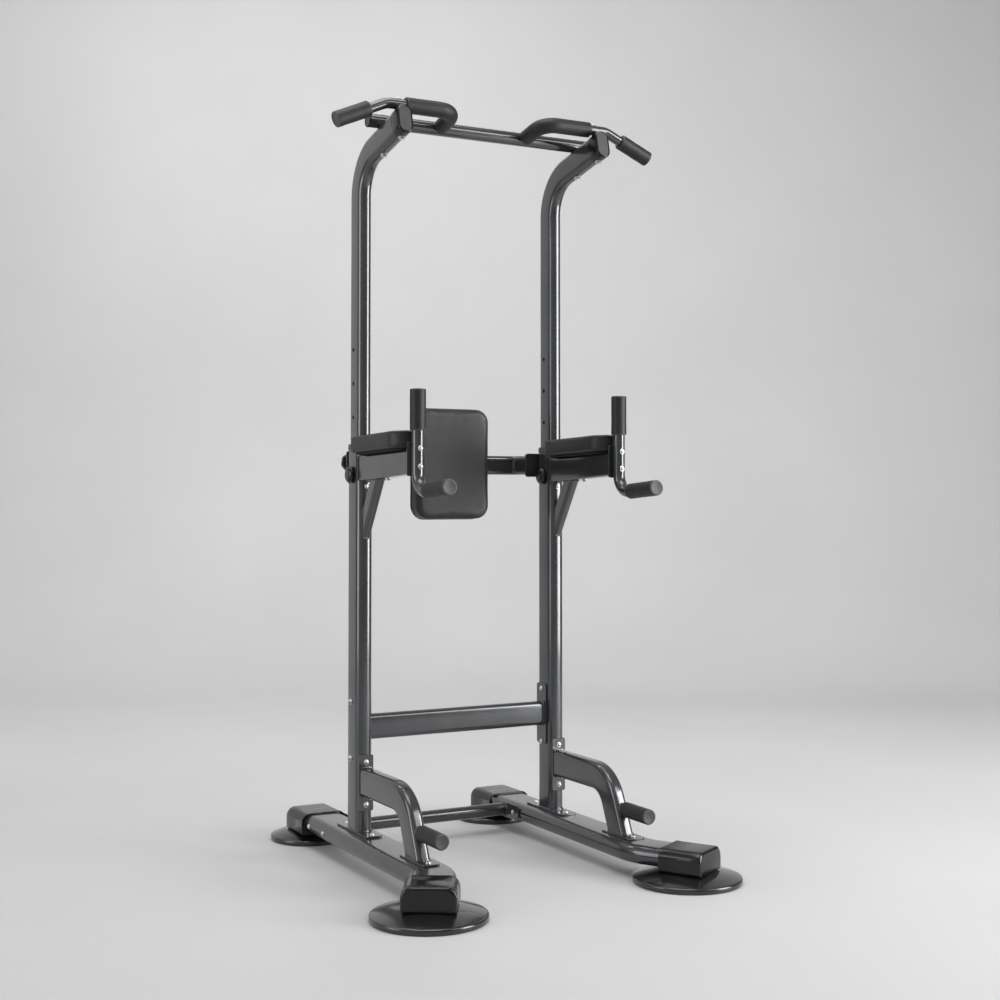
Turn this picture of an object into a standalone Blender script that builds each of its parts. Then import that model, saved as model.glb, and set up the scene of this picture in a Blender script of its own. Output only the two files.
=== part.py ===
"""Power tower: a free-standing pull-up, dip, knee-raise and push-up stand, as separate pieces.

Metres, +Z up. The user stands in front, on the -Y side, and leans back on the pad. Two base rails carry
two uprights, and the pull-up mast slides down inside the uprights.
"""

import math

import bmesh
import bpy
from mathutils import Vector

GAP = 0.0003  # clearance between pieces that touch

# Uprights: the plane through their centres lies Y0 behind the middle of the footprint.
Y0 = 0.125
UP_X = 0.300
LOW_W = 0.046
LOW_D = 0.084
LOW_R = 0.020
LOW_BOTTOM = 0.0923
LOW_TOP = 1.118
WALL = 0.0015
BASE_PLATE_T = 0.005
BASE_PLATE_W = 0.050
BASE_PLATE_L = 0.204

# Sliding mast: tubes, their bend, and the bars on top.
MAST_W = 0.038
MAST_D = 0.075
MAST_R = 0.0175
MAST_BOTTOM = 0.80
MAST_CORNER_Z = 1.9044
MAST_BEND_R = 0.120
MAST_RISE = math.radians(12)
MAST_REACH = 0.2965
CAP_LENGTH = 0.045
CAP_W = 0.043
CAP_D = 0.078
CAP_R = 0.0200
TUBE_STEPS = 4  # sides in each rounded corner of the upright tubes
HOLE_R = 0.0052
HOLE_PITCH = 0.0922
HOLE_TOP_Z = 1.3910
HOLE_Y = 0.006
PIN_Z = 1.050

BAR_R = 0.0185
BAR_Y = -0.133
BAR_Z = 1.9902
BAR_HALF = 0.3365
BAR_CAP_X = 0.340

HANDLE_R = 0.014
HANDLE_Y = -0.245
HANDLE_Z = 2.0115
HANDLE_OUT_X = 0.4765
HANDLE_OUT_Z = 1.9500
HANDLE_BEND_X = 0.335
HANDLE_IN_X = 0.134
HANDLE_LEG_X = 0.132
HANDLE_LEG_Y = -0.1525
HANDLE_LEG_Z = 1.9910
FOAM_R = 0.021

# Arms, pads and dip handles.
ARM_W = 0.040
ARM_REAR_Y = -0.0423
ARM_FRONT_Y = -0.3460
ARM_REAR_Z = 1.0670
ARM_REAR_H = 0.069
ARM_FRONT_Z = 1.0780
ARM_FRONT_H = 0.062
ARM_PLATE_T = 0.004
ARM_PLATE_W = 0.044
ARM_PLATE_Z = (1.042, 1.129)
STRUT_W = 0.025
STRUT_D = 0.045
PAD_W = 0.106
PAD_L = 0.299
PAD_T = 0.044
PAD_MID_Y = -0.1954
BOARD_T = 0.0055
DIP_R = 0.016
DIP_TOP_Z = 1.262
DIP_CORNER_Z = 1.001
DIP_FRONT_Y = -0.547
DIP_GRIP_R = 0.0205

# Back rest.
BACK_W = 0.231
BACK_H = 0.3155
BACK_Z = 1.0838
BACK_FRONT_Y = 0.029
BACK_T = 0.050
BACK_BOARD_T = 0.012
REST_BAR_D = 0.030
REST_BAR_H = 0.055
REST_BAR_Z = 1.0825
REST_CORNER_X = 0.241
REST_TURN = math.radians(75)
KNOB_Z = 1.085

# Lower crossbar and the push-up braces.
CROSS_D = 0.032
CROSS_H = 0.069
CROSS_Z = 0.365
CROSS_Y = 0.008
BRACE_W = 0.039
BRACE_D = 0.075
BRACE_Z = 0.227
BRACE_CORNER_Y = -0.308
BRACE_BEND_R = 0.093
BRACE_LEAN = math.radians(24.5)
PUSH_Z = 0.157
PUSH_GRIP_R = 0.020
PUSH_END_Y = -0.508

# Base rails and feet.
RAIL_W = 0.115
RAIL_H = 0.050
RAIL_R = 0.0245
RAIL_Z = 0.062
RAIL_X = 0.301
RAIL_REAR_Y = 0.350
RAIL_CORNER_Y = -0.467
RAIL_SPLAY = math.radians(29.8)
RAIL_NOSE = 0.1983
BOOT_W = 0.134
BOOT_L = 0.118
BOOT_LOW = 0.0315
BOOT_TOP = 0.0905
BOOT_R = 0.026
REAR_BOOT_Y = (0.253, 0.383)
FRONT_FOOT = (0.369, -0.578, 0.142)
REAR_FOOT = (0.300, 0.352, 0.118)
FOOT_H = 0.0312
REAR_CROSS_Y = 0.172

ROUND = 14  # sides of a round tube
X = Vector((1, 0, 0))
Y = Vector((0, 1, 0))
Z = Vector((0, 0, 1))


def clear_scene():
    for obj in list(bpy.data.objects):
        bpy.data.objects.remove(obj, do_unlink=True)


def make_material(name, colour, metallic, roughness):
    mat = bpy.data.materials.new(name)
    mat.use_nodes = True
    shader = mat.node_tree.nodes["Principled BSDF"]
    shader.inputs["Base Color"].default_value = (*colour, 1.0)
    shader.inputs["Metallic"].default_value = metallic
    shader.inputs["Roughness"].default_value = roughness
    return mat


def finish(name, bm, mat, location=(0, 0, 0), rotation=(0, 0, 0)):
    """Makes the named piece from a closed surface."""
    bmesh.ops.recalc_face_normals(bm, faces=bm.faces[:])
    mesh = bpy.data.meshes.new(name)
    bm.to_mesh(mesh)
    bm.free()
    mesh.materials.append(mat)
    obj = bpy.data.objects.new(name, mesh)
    bpy.context.scene.collection.objects.link(obj)
    obj.location = location
    obj.rotation_euler = rotation
    return obj


def combine(obj, tool, operation):
    """Joins a welded part to the piece, or cuts a hole in it."""
    modifier = obj.modifiers.new("combine", "BOOLEAN")
    modifier.operation = operation
    modifier.solver = "EXACT"
    modifier.object = tool
    bpy.context.view_layer.update()
    graph = bpy.context.evaluated_depsgraph_get()
    mesh = bpy.data.meshes.new_from_object(obj.evaluated_get(graph))
    obj.modifiers.clear()
    old = obj.data
    obj.data = mesh
    mesh.name = obj.name
    bpy.data.meshes.remove(old)
    bpy.data.objects.remove(tool, do_unlink=True)
    return obj


def rounded_rect(width, height, radius, steps=2):
    points = []
    for sx, sy, start in ((1, 1, 0), (-1, 1, 90), (-1, -1, 180), (1, -1, 270)):
        for k in range(steps + 1):
            angle = math.radians(start + 90 * k / steps)
            u = sx * (width / 2 - radius) + radius * math.cos(angle)
            v = sy * (height / 2 - radius) + radius * math.sin(angle)
            points.append((u, v))
    return points


def circle(radius, sides=ROUND):
    turns = [2 * math.pi * k / sides for k in range(sides)]
    return [(radius * math.cos(t), radius * math.sin(t)) for t in turns]


def plan(width, length, front, back, inset=0.0, steps=3):
    """Outline seen from above: -Y corners rounded by front, +Y corners by back, drawn in by inset."""
    points = []
    corners = ((1, 1, back, 0), (-1, 1, back, 90), (-1, -1, front, 180), (1, -1, front, 270))
    for sx, sy, radius, start in corners:
        kept = max(radius, inset + 0.0005)
        for k in range(steps + 1):
            angle = math.radians(start + 90 * k / steps)
            x = sx * (width / 2 - kept) + (kept - inset) * math.cos(angle)
            y = sy * (length / 2 - kept) + (kept - inset) * math.sin(angle)
            points.append((x, y))
    return points


def skin(bm, rings):
    """Side faces through a row of equal rings of points; returns the first and last ring."""
    made = [[bm.verts.new(p) for p in ring] for ring in rings]
    for first, second in zip(made, made[1:]):
        count = len(first)
        for i in range(count):
            j = (i + 1) % count
            bm.faces.new((first[i], first[j], second[j], second[i]))
    return made[0], made[-1]


def bridge(bm, first, second):
    count = len(first)
    for i in range(count):
        j = (i + 1) % count
        bm.faces.new((first[i], first[j], second[j], second[i]))


def solid(rings):
    bm = bmesh.new()
    first, last = skin(bm, rings)
    bm.faces.new(first)
    bm.faces.new(last)
    return bm


def tube(outer, inner):
    """Open-ended tube between two rows of rings."""
    bm = bmesh.new()
    outer_ends = skin(bm, outer)
    inner_ends = skin(bm, inner)
    bridge(bm, outer_ends[0], inner_ends[0])
    bridge(bm, outer_ends[1], inner_ends[1])
    return bm


def cup(outer, inner):
    """As a tube, but open at the first rings only."""
    bm = bmesh.new()
    outer_ends = skin(bm, outer)
    inner_ends = skin(bm, inner)
    bridge(bm, outer_ends[0], inner_ends[0])
    bm.faces.new(outer_ends[1])
    bm.faces.new(inner_ends[1])
    return bm


def slab(levels, outline):
    """Solid made of outlines stacked in Z; levels are (height, inset)."""
    return solid([[Vector((x, y, z)) for x, y in outline(inset)] for z, inset in levels])


def turned(profile, sides=32):
    """Solid of revolution about Z from (radius, height) points with radii over zero."""
    rings = [[Vector((x, y, z)) for x, y in circle(r, sides)] for r, z in profile]
    return solid(rings)


def turned_tube(outer, inner, sides=24):
    rings = [
        [[Vector((x, y, z)) for x, y in circle(r, sides)] for r, z in profile]
        for profile in (outer, inner)
    ]
    return tube(rings[0], rings[1])


def bent_path(corners, radii, step=math.radians(18)):
    """Points and directions along straight runs joined by arcs."""
    first = (corners[1] - corners[0]).normalized()
    path = [(corners[0], first)]
    for i, radius in enumerate(radii, start=1):
        before = (corners[i] - corners[i - 1]).normalized()
        after = (corners[i + 1] - corners[i]).normalized()
        turn = before.angle(after)
        start = corners[i] - before * radius * math.tan(turn / 2)
        inward = (after - before * before.dot(after)).normalized()
        centre = start + inward * radius
        count = max(2, math.ceil(turn / step))
        for k in range(count + 1):
            t = turn * k / count
            point = centre - inward * radius * math.cos(t) + before * radius * math.sin(t)
            path.append((point, before * math.cos(t) + inward * math.sin(t)))
    path.append((corners[-1], (corners[-1] - corners[-2]).normalized()))
    return path


def flat_rings(path, across, profile):
    """Rings of a profile whose first axis stays along the given direction."""
    rings = []
    for point, direction in path:
        other = direction.cross(across)
        rings.append([point + across * u + other * v for u, v in profile])
    return rings


def round_rings(path, radii, sides=ROUND):
    """Circular rings along a path; radii is one radius, or one per point."""
    if not isinstance(radii, (list, tuple)):
        radii = [radii] * len(path)
    rings = []
    across = path[0][1].orthogonal().normalized()
    last = path[0][1]
    for (point, direction), radius in zip(path, radii):
        across = last.rotation_difference(direction) @ across
        last = direction
        other = direction.cross(across)
        rings.append([point + across * u + other * v for u, v in circle(radius, sides)])
    return rings


def project(ring, direction, point, normal):
    """Moves a ring's points along a direction until they lie on a plane."""
    moved = []
    for p in ring:
        moved.append(p + direction * ((point - p).dot(normal) / direction.dot(normal)))
    return moved


def grip(path, radius, tube_radius, closed_end):
    """Foam sleeve with rounded ends over a tube, shut at its last end if closed_end is set."""
    bore = (tube_radius + GAP) / math.cos(math.pi / ROUND)
    first, toward = path[0]
    last, away = path[-1]
    lip = 0.003
    inside = [(first, toward), *path[1:-1], (last, away)]
    points = [(first, toward), (first + toward * lip, toward), *path[1:-1]]
    points += [(last - away * lip, away), (last, away)]
    radii = [radius - lip * 0.7] + [radius] * (len(points) - 2) + [radius - lip * 0.7]
    if not closed_end:
        return tube(round_rings(points, radii), round_rings(inside, bore))
    inside[-1] = (last - away * 0.004, away)
    return cup(round_rings(points, radii), round_rings(inside, bore))


def bar_along(start, end, radius, sides=ROUND):
    direction = (end - start).normalized()
    return solid(round_rings([(start, direction), (end, direction)], radius, sides))


def plate_rings(centre, normal, across, width, height, thickness, radius):
    """Rings of a rounded plate; width runs along across."""
    half = normal * thickness / 2
    return flat_rings(
        [(centre - half, normal), (centre + half, normal)], across, rounded_rect(width, height, radius)
    )


def add_rail(name, side, mat):
    corner = Vector((side * RAIL_X, RAIL_CORNER_Y, RAIL_Z))
    splay = Vector((side * math.sin(RAIL_SPLAY), -math.cos(RAIL_SPLAY), 0))
    start = Vector((side * RAIL_X, RAIL_REAR_Y, RAIL_Z))
    path = bent_path([start, corner, corner + splay * (RAIL_NOSE - 0.012)], [0.12], math.radians(10))
    outer = flat_rings(path, Z, rounded_rect(RAIL_H, RAIL_W, RAIL_R, 4))
    inner = flat_rings(
        path, Z, rounded_rect(RAIL_H - 2 * WALL, RAIL_W - 2 * WALL, RAIL_R - WALL, 4)
    )
    return finish(name, tube(outer, inner), mat, (0, Y0, 0))


def boot_section(y, inset):
    """Outline of a boot across its length: well rounded above, nearly square below."""
    points = []
    half = BOOT_W / 2 - inset
    corners = ((1, 1, BOOT_R, 0), (-1, 1, BOOT_R, 90), (-1, -1, 0.006, 180), (1, -1, 0.006, 270))
    for sx, sz, radius, start in corners:
        middle = BOOT_TOP - inset - radius if sz > 0 else BOOT_LOW + radius
        for k in range(5):
            angle = math.radians(start + 22.5 * k)
            x = sx * (half - radius) + radius * math.cos(angle)
            points.append(Vector((x, y, middle + radius * math.sin(angle))))
    return points


def add_boot(name, location, turn, length, mat):
    """Moulded cover over a rail's end; it points along its own -Y."""
    levels = [(-0.5 * length, 0.0065), (0.0025 - 0.5 * length, 0.0022), (0.0075 - 0.5 * length, 0.0)]
    levels += [(0.5 * length - 0.002, 0.0), (0.5 * length, 0.0012)]
    body = solid([boot_section(y, inset) for y, inset in levels])
    boot = finish(name, body, mat, location, (0, 0, turn))
    mouth = Vector((0, length / 2 + 0.01, RAIL_Z))
    end = Vector((0, 0.012 - GAP - length / 2, RAIL_Z))
    depth = [(mouth, -Y), (end, -Y)]
    pocket = rounded_rect(RAIL_H + 2 * GAP, RAIL_W + 2 * GAP, RAIL_R + GAP, 4)
    tool = finish("pocket", solid(flat_rings(depth, Z, pocket)), mat, location, (0, 0, turn))
    return combine(boot, tool, "DIFFERENCE")


def add_foot(name, x, y, radius, mat):
    profile = [
        (radius - 0.003, 0.0),
        (radius, 0.003),
        (radius, 0.0115),
        (radius - 0.002, 0.0140),
        (radius - 0.007, 0.0158),
        (radius * 0.70, 0.0230),
        (0.062, 0.0298),
        (0.050, FOOT_H),
    ]
    return finish(name, turned(profile, 28), mat, (x, Y0 + y, 0))


def add_rear_crossbar(mat):
    inner_x = RAIL_X - RAIL_W / 2 - GAP
    thick = 0.004
    path = [(Vector((-inner_x + thick / 2, 0, 0)), X), (Vector((inner_x - thick / 2, 0, 0)), X)]
    body = tube(round_rings(path, 0.0185), round_rings(path, 0.0165))
    location = (0, Y0 + REAR_CROSS_Y, RAIL_Z + 0.001)
    bar = finish("rear_crossbar", body, mat, location)
    for side in (-1, 1):
        centre = Vector((side * (inner_x - thick / 2), -0.002, -0.001))
        rings = plate_rings(centre, X, Z, 0.044, 0.165, thick, 0.010)
        combine(bar, finish("flange", solid(rings), mat, location), "UNION")
        hole = bar_along(centre - X * 0.02 + Y * 0.002, centre + X * 0.02 + Y * 0.002, 0.012)
        combine(bar, finish("hole", hole, mat, location), "DIFFERENCE")
    return bar


def add_lower_upright(name, side, mat):
    location = (side * UP_X, Y0, 0)
    path = [(Vector((0, 0, LOW_BOTTOM - 0.002)), Z), (Vector((0, 0, LOW_TOP)), Z)]
    outer = flat_rings(path, X, rounded_rect(LOW_W, LOW_D, LOW_R, TUBE_STEPS))
    hollow = rounded_rect(LOW_W - 2 * WALL, LOW_D - 2 * WALL, LOW_R - WALL, TUBE_STEPS)
    inner = flat_rings(path, X, hollow)
    upright = finish(name, tube(outer, inner), mat, location)
    centre = Vector((0, 0, LOW_BOTTOM - BASE_PLATE_T / 2))
    rings = plate_rings(centre, Z, X, BASE_PLATE_W, BASE_PLATE_L, BASE_PLATE_T, 0.008)
    combine(upright, finish("plate", solid(rings), mat, location), "UNION")
    drain = flat_rings(
        [(centre - Z * 0.02, Z), (centre + Z * 0.02, Z)], X, rounded_rect(0.024, 0.056, 0.006)
    )
    combine(upright, finish("drain", solid(drain), mat, location), "DIFFERENCE")
    pin = bar_along(Vector((-0.040, HOLE_Y, PIN_Z)), Vector((-0.010, HOLE_Y, PIN_Z)), 0.0053)
    combine(upright, finish("hole", pin, mat, location), "DIFFERENCE")
    stud = bar_along(Vector((0, 0.030, KNOB_Z)), Vector((0, 0.050, KNOB_Z)), 0.0043)
    combine(upright, finish("hole", stud, mat, location), "DIFFERENCE")
    return upright


def add_collar(name, side, mat):
    """Plastic bush that guides the mast: a flange on top of the lower tube and a sleeve inside it."""
    base = LOW_TOP + GAP
    slack = 2 * WALL + 2 * GAP
    sleeve = rounded_rect(LOW_W - slack, LOW_D - slack, LOW_R - slack / 2, TUBE_STEPS)
    flange = rounded_rect(LOW_W + 0.004, LOW_D + 0.004, LOW_R + 0.002, TUBE_STEPS)
    top = rounded_rect(LOW_W - 0.001, LOW_D - 0.001, LOW_R - 0.0005, TUBE_STEPS)
    bore = rounded_rect(MAST_W + 2 * GAP, MAST_D + 2 * GAP, MAST_R + GAP, TUBE_STEPS)
    levels = [(1.096, sleeve), (base, sleeve), (base, flange), (1.1320, flange), (1.1350, top)]
    outer = [[Vector((u, v, z)) for u, v in shape] for z, shape in levels]
    inner = [[Vector((u, v, z)) for u, v in bore] for z in (1.096, 1.135)]
    return finish(name, tube(outer, inner), mat, (side * UP_X, Y0, 0))


def mast_direction():
    return Vector((0, -math.cos(MAST_RISE), math.sin(MAST_RISE)))


def add_upper_upright(name, side, mat):
    location = (side * UP_X, Y0, 0)
    corner = Vector((0, 0, MAST_CORNER_Z))
    end = corner + mast_direction() * (MAST_REACH - 0.004)
    path = bent_path([Vector((0, 0, MAST_BOTTOM)), corner, end], [MAST_BEND_R], math.radians(13))
    outer = flat_rings(path, X, rounded_rect(MAST_W, MAST_D, MAST_R, TUBE_STEPS))
    hollow = rounded_rect(MAST_W - 2 * WALL, MAST_D - 2 * WALL, MAST_R - WALL, TUBE_STEPS)
    inner = flat_rings(path, X, hollow)
    upright = finish(name, tube(outer, inner), mat, location)
    heights = [HOLE_TOP_Z - HOLE_PITCH * k for k in range(3)] + [PIN_Z]
    for z in heights:
        hole = bar_along(Vector((-0.030, HOLE_Y, z)), Vector((-0.010, HOLE_Y, z)), HOLE_R)
        combine(upright, finish("hole", hole, mat, location), "DIFFERENCE")
    return upright


def add_end_cap(name, side, mat):
    """Moulded cap over the mast tube's front end, with a sunk face."""
    corner = Vector((0, 0, MAST_CORNER_Z))
    along = mast_direction()

    def ring(distance, width, depth, radius):
        shape = rounded_rect(width, depth, radius, TUBE_STEPS)
        return flat_rings([(corner + along * distance, along)], X, shape)[0]

    start = MAST_REACH - CAP_LENGTH
    outer = [
        ring(start, CAP_W - 0.003, CAP_D - 0.002, CAP_R - 0.0012),
        ring(start + 0.003, CAP_W, CAP_D, CAP_R),
        ring(MAST_REACH - 0.004, CAP_W, CAP_D, CAP_R),
        ring(MAST_REACH - 0.001, CAP_W - 0.003, CAP_D - 0.003, CAP_R - 0.0015),
        ring(MAST_REACH, CAP_W - 0.008, CAP_D - 0.008, CAP_R - 0.0040),
        ring(MAST_REACH - 0.0012, CAP_W - 0.011, CAP_D - 0.011, CAP_R - 0.0055),
    ]
    bore_w = MAST_W + 2 * GAP
    bore_d = MAST_D + 2 * GAP
    inner = [
        ring(start, bore_w, bore_d, MAST_R + GAP),
        ring(MAST_REACH - 0.0036, bore_w, bore_d, MAST_R + GAP),
    ]
    return finish(name, cup(outer, inner), mat, (side * UP_X, Y0, 0))


def add_pull_up_bar(mat):
    path = [(Vector((-BAR_HALF, 0, 0)), X), (Vector((BAR_HALF, 0, 0)), X)]
    body = tube(round_rings(path, BAR_R), round_rings(path, BAR_R - WALL))
    return finish("pull_up_bar", body, mat, (0, Y0 + BAR_Y, BAR_Z))


def add_bar_cap(name, side, mat):
    """Plug in the bar's end, with a thin flange that lies over the tube's rim."""
    stem = (BAR_R - WALL) * math.cos(math.pi / ROUND) - GAP
    seat = BAR_HALF + GAP - BAR_CAP_X
    profile = [(stem - 0.0012, -0.0150), (stem, -0.0135), (stem, seat), (BAR_R + 0.0004, seat)]
    profile += [(BAR_R + 0.0004, -0.0010), (BAR_R - 0.0008, 0.0)]
    location = (side * BAR_CAP_X, Y0 + BAR_Y, BAR_Z)
    return finish(name, turned(profile, ROUND), mat, location, (0, side * math.pi / 2, 0))


def handle_points(side):
    """Corners of a top handle from its outer end to its weld on the rear bar."""
    return [
        Vector((side * HANDLE_OUT_X, HANDLE_Y, HANDLE_OUT_Z)),
        Vector((side * HANDLE_BEND_X, HANDLE_Y, HANDLE_Z)),
        Vector((side * HANDLE_IN_X, HANDLE_Y, HANDLE_Z)),
        Vector((side * HANDLE_LEG_X, HANDLE_LEG_Y, HANDLE_LEG_Z)),
    ]


def add_top_handle(name, side, mat):
    points = handle_points(side)
    inward = (points[1] - points[0]).normalized()
    points[0] = points[0] + inward * 0.0044
    path = bent_path(points, [0.05, 0.045])
    body = tube(round_rings(path, HANDLE_R), round_rings(path, HANDLE_R - WALL))
    return finish(name, body, mat, (0, Y0, 0))


def add_outer_grip(name, side, mat):
    points = handle_points(side)
    out = (points[0] - points[1]).normalized()
    start = points[1] + out * ((0.384 - HANDLE_BEND_X) / abs(out.x))
    path = [(start, out), (points[0], out)]
    return finish(name, grip(path, FOAM_R, HANDLE_R, True), mat, (0, Y0, 0))


def add_inner_grip(name, side, mat):
    points = handle_points(side)
    back = (points[3] - points[2]).normalized()
    start = Vector((side * 0.281, HANDLE_Y, HANDLE_Z))
    path = bent_path([start, points[2], points[3] - back * 0.0012], [0.045])
    return finish(name, grip(path, FOAM_R, HANDLE_R, False), mat, (0, Y0, 0))


def add_arm(name, side, mat):
    """Tapered arm, its rear end shaped to the upright's round front, with a bolting plate in front."""
    location = (side * UP_X, Y0, 0)
    overlap = 0.001

    def rings(shrink):
        made = []
        for y, z, height in (
            (ARM_REAR_Y + 0.013, ARM_REAR_Z, ARM_REAR_H),
            (ARM_REAR_Y, ARM_REAR_Z, ARM_REAR_H),
            (ARM_FRONT_Y - overlap, ARM_FRONT_Z, ARM_FRONT_H),
        ):
            shape = rounded_rect(ARM_W - shrink, height - shrink, 0.006 - shrink / 2)
            made.append([Vector((u, y, z + v)) for u, v in shape])
        return made

    arm = finish(name, tube(rings(0.0), rings(2 * WALL)), mat, location)
    column = rounded_rect(LOW_W + 2 * GAP, LOW_D + 2 * GAP, LOW_R + GAP, TUBE_STEPS)
    rows = flat_rings([(Vector((0, 0, 1.0)), Z), (Vector((0, 0, 1.15)), Z)], X, column)
    combine(arm, finish("column", solid(rows), mat, location), "DIFFERENCE")
    middle = sum(ARM_PLATE_Z) / 2
    tall = ARM_PLATE_Z[1] - ARM_PLATE_Z[0]
    centre = Vector((0, ARM_FRONT_Y - ARM_PLATE_T / 2, middle))
    face = plate_rings(centre, Y, X, ARM_PLATE_W, tall, ARM_PLATE_T, 0.005)
    return combine(arm, finish("plate", solid(face), mat, location), "UNION")


def add_strut(name, side, mat):
    """Short diagonal tube from the upright's front up to the arm's underside."""
    top = Vector((0, -0.117, 1.036))
    foot = Vector((0, -0.042, 0.919))
    along = (foot - top).normalized()
    run = ARM_REAR_Y - ARM_FRONT_Y
    rise = (ARM_FRONT_Z - ARM_FRONT_H / 2) - (ARM_REAR_Z - ARM_REAR_H / 2)
    arm_normal = Vector((0, rise, run)).normalized()
    arm_point = Vector((0, ARM_REAR_Y, ARM_REAR_Z - ARM_REAR_H / 2 - GAP))
    rows = []
    for shrink in (0.0, 2 * WALL):
        shape = rounded_rect(STRUT_W - shrink, STRUT_D - shrink, 0.008 - shrink / 2)
        ring = flat_rings([(top, along)], X, shape)[0]
        upper = project(ring, along, arm_point, arm_normal)
        lower = project(ring, along, Vector((0, ARM_REAR_Y, 0)), Y)
        rows.append([upper, lower])
    return finish(name, tube(rows[0], rows[1]), mat, (side * UP_X, Y0, 0))


def arm_slope():
    rise = (ARM_FRONT_Z + ARM_FRONT_H / 2) - (ARM_REAR_Z + ARM_REAR_H / 2)
    return math.atan2(rise, ARM_REAR_Y - ARM_FRONT_Y)


def arm_top(side):
    """Middle of the arm's top under the pad."""
    share = (ARM_REAR_Y - PAD_MID_Y) / (ARM_REAR_Y - ARM_FRONT_Y)
    rear = ARM_REAR_Z + ARM_REAR_H / 2
    front = ARM_FRONT_Z + ARM_FRONT_H / 2
    return (side * UP_X, Y0 + PAD_MID_Y, rear + share * (front - rear) + GAP)


def add_arm_board(name, side, mat):
    body = slab([(0, 0), (BOARD_T, 0)], lambda inset: plan(0.080, 0.262, 0.034, 0.008, inset))
    return finish(name, body, mat, arm_top(side), (-arm_slope(), 0, 0))


def cushion_levels(base, thickness, soft):
    """Heights and insets that round a cushion's upper edge by soft and its lower edge slightly."""
    levels = [(base, 0.004), (base + 0.004, 0.0)]
    for k in range(4):
        angle = math.radians(90 * k / 3)
        inset = soft * (1 - math.cos(angle))
        levels.append((base + thickness - soft + soft * math.sin(angle), inset))
    return levels


def add_arm_pad(name, side, mat):
    levels = cushion_levels(BOARD_T + GAP, PAD_T, 0.006)
    body = slab(levels, lambda inset: plan(PAD_W, PAD_L, 0.050, 0.014, inset))
    return finish(name, body, mat, arm_top(side), (-arm_slope(), 0, 0))


def dip_points():
    post_y = ARM_FRONT_Y - ARM_PLATE_T - DIP_R - GAP
    rise = math.radians(4)
    corner = Vector((0, post_y, DIP_CORNER_Z))
    reach = post_y - DIP_FRONT_Y
    return [
        Vector((0, post_y, DIP_TOP_Z)),
        corner,
        corner + Vector((0, -reach, reach * math.tan(rise))),
    ]


def add_dip_handle(name, side, mat):
    points = dip_points()
    points[0] = points[0] - Z * 0.0044
    forward = (points[2] - points[1]).normalized()
    points[2] = points[2] - forward * 0.0044
    path = bent_path(points, [0.048])
    body = tube(round_rings(path, DIP_R), round_rings(path, DIP_R - WALL))
    return finish(name, body, mat, (side * UP_X, Y0, 0))


def add_dip_grip(name, side, mat):
    top = dip_points()[0]
    start = Vector((0, top.y, 1.157))
    body = grip([(start, Z), (top, Z)], DIP_GRIP_R, DIP_R, True)
    return finish(name, body, mat, (side * UP_X, Y0, 0))


def add_side_grip(name, side, mat):
    points = dip_points()
    forward = (points[2] - points[1]).normalized()
    start = points[1] + forward * 0.0575
    body = grip([(start, forward), (points[2], forward)], DIP_GRIP_R, DIP_R, True)
    return finish(name, body, mat, (side * UP_X, Y0, 0))


def rest_bar_y():
    return BACK_FRONT_Y + BACK_T + BACK_BOARD_T + 3 * GAP + REST_BAR_D / 2


def add_back_pad(mat):
    """The cushion is built lying down, then stood up to face -Y."""
    levels = cushion_levels(0.0, BACK_T, 0.009)
    body = slab(levels, lambda inset: plan(BACK_W, BACK_H, 0.040, 0.040, inset))
    location = (0, Y0 + BACK_FRONT_Y + BACK_T, BACK_Z)
    return finish("back_pad", body, mat, location, (math.pi / 2, 0, 0))


def add_back_board(mat):
    body = slab([(0, 0), (BACK_BOARD_T, 0)], lambda inset: plan(0.215, 0.300, 0.036, 0.036, inset))
    location = (0, Y0 + BACK_FRONT_Y + BACK_T + GAP + BACK_BOARD_T, BACK_Z)
    return finish("back_pad_board", body, mat, location, (math.pi / 2, 0, 0))


def add_rest_bar(mat):
    """Flat bar behind the back pad, bent forward at both ends to plates behind the uprights."""
    plate_t = 0.004
    rear = LOW_D / 2 + GAP
    location = (0, Y0, REST_BAR_Z)
    y = rest_bar_y()
    leg = (y - rear) / math.sin(REST_TURN)
    lean = Vector((math.cos(REST_TURN), -math.sin(REST_TURN), 0))
    right = Vector((REST_CORNER_X, y, 0))
    points = [right + lean * leg, right, Vector((-REST_CORNER_X, y, 0))]
    points.append(Vector((-points[0].x, points[0].y, 0)))
    path = bent_path(points, [0.026, 0.026], math.radians(19))
    plane = Vector((0, rear + plate_t / 2, 0))
    rows = []
    for shrink in (0.0, 2 * WALL):
        shape = rounded_rect(REST_BAR_H - shrink, REST_BAR_D - shrink, 0.010 - shrink / 2)
        rings = flat_rings(path, Z, shape)
        rings[0] = project(rings[0], path[0][1], plane, Y)
        rings[-1] = project(rings[-1], path[-1][1], plane, Y)
        rows.append(rings)
    bar = finish("back_rest_bar", tube(rows[0], rows[1]), mat, location)
    for side in (-1, 1):
        centre = Vector((side * 0.2815, rear + plate_t / 2, 0.0))
        face = plate_rings(centre, Y, X, 0.083, 0.068, plate_t, 0.008)
        combine(bar, finish("plate", solid(face), mat, location), "UNION")
        x = side * (points[0].x - 0.0012)
        vent = bar_along(Vector((x, 0.03, 0)), Vector((x, 0.06, 0)), 0.0073)
        combine(bar, finish("hole", vent, mat, location), "DIFFERENCE")
        z = KNOB_Z - REST_BAR_Z
        stud = bar_along(Vector((side * UP_X, 0.03, z)), Vector((side * UP_X, 0.06, z)), 0.0043)
        combine(bar, finish("hole", stud, mat, location), "DIFFERENCE")
    return bar


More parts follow.
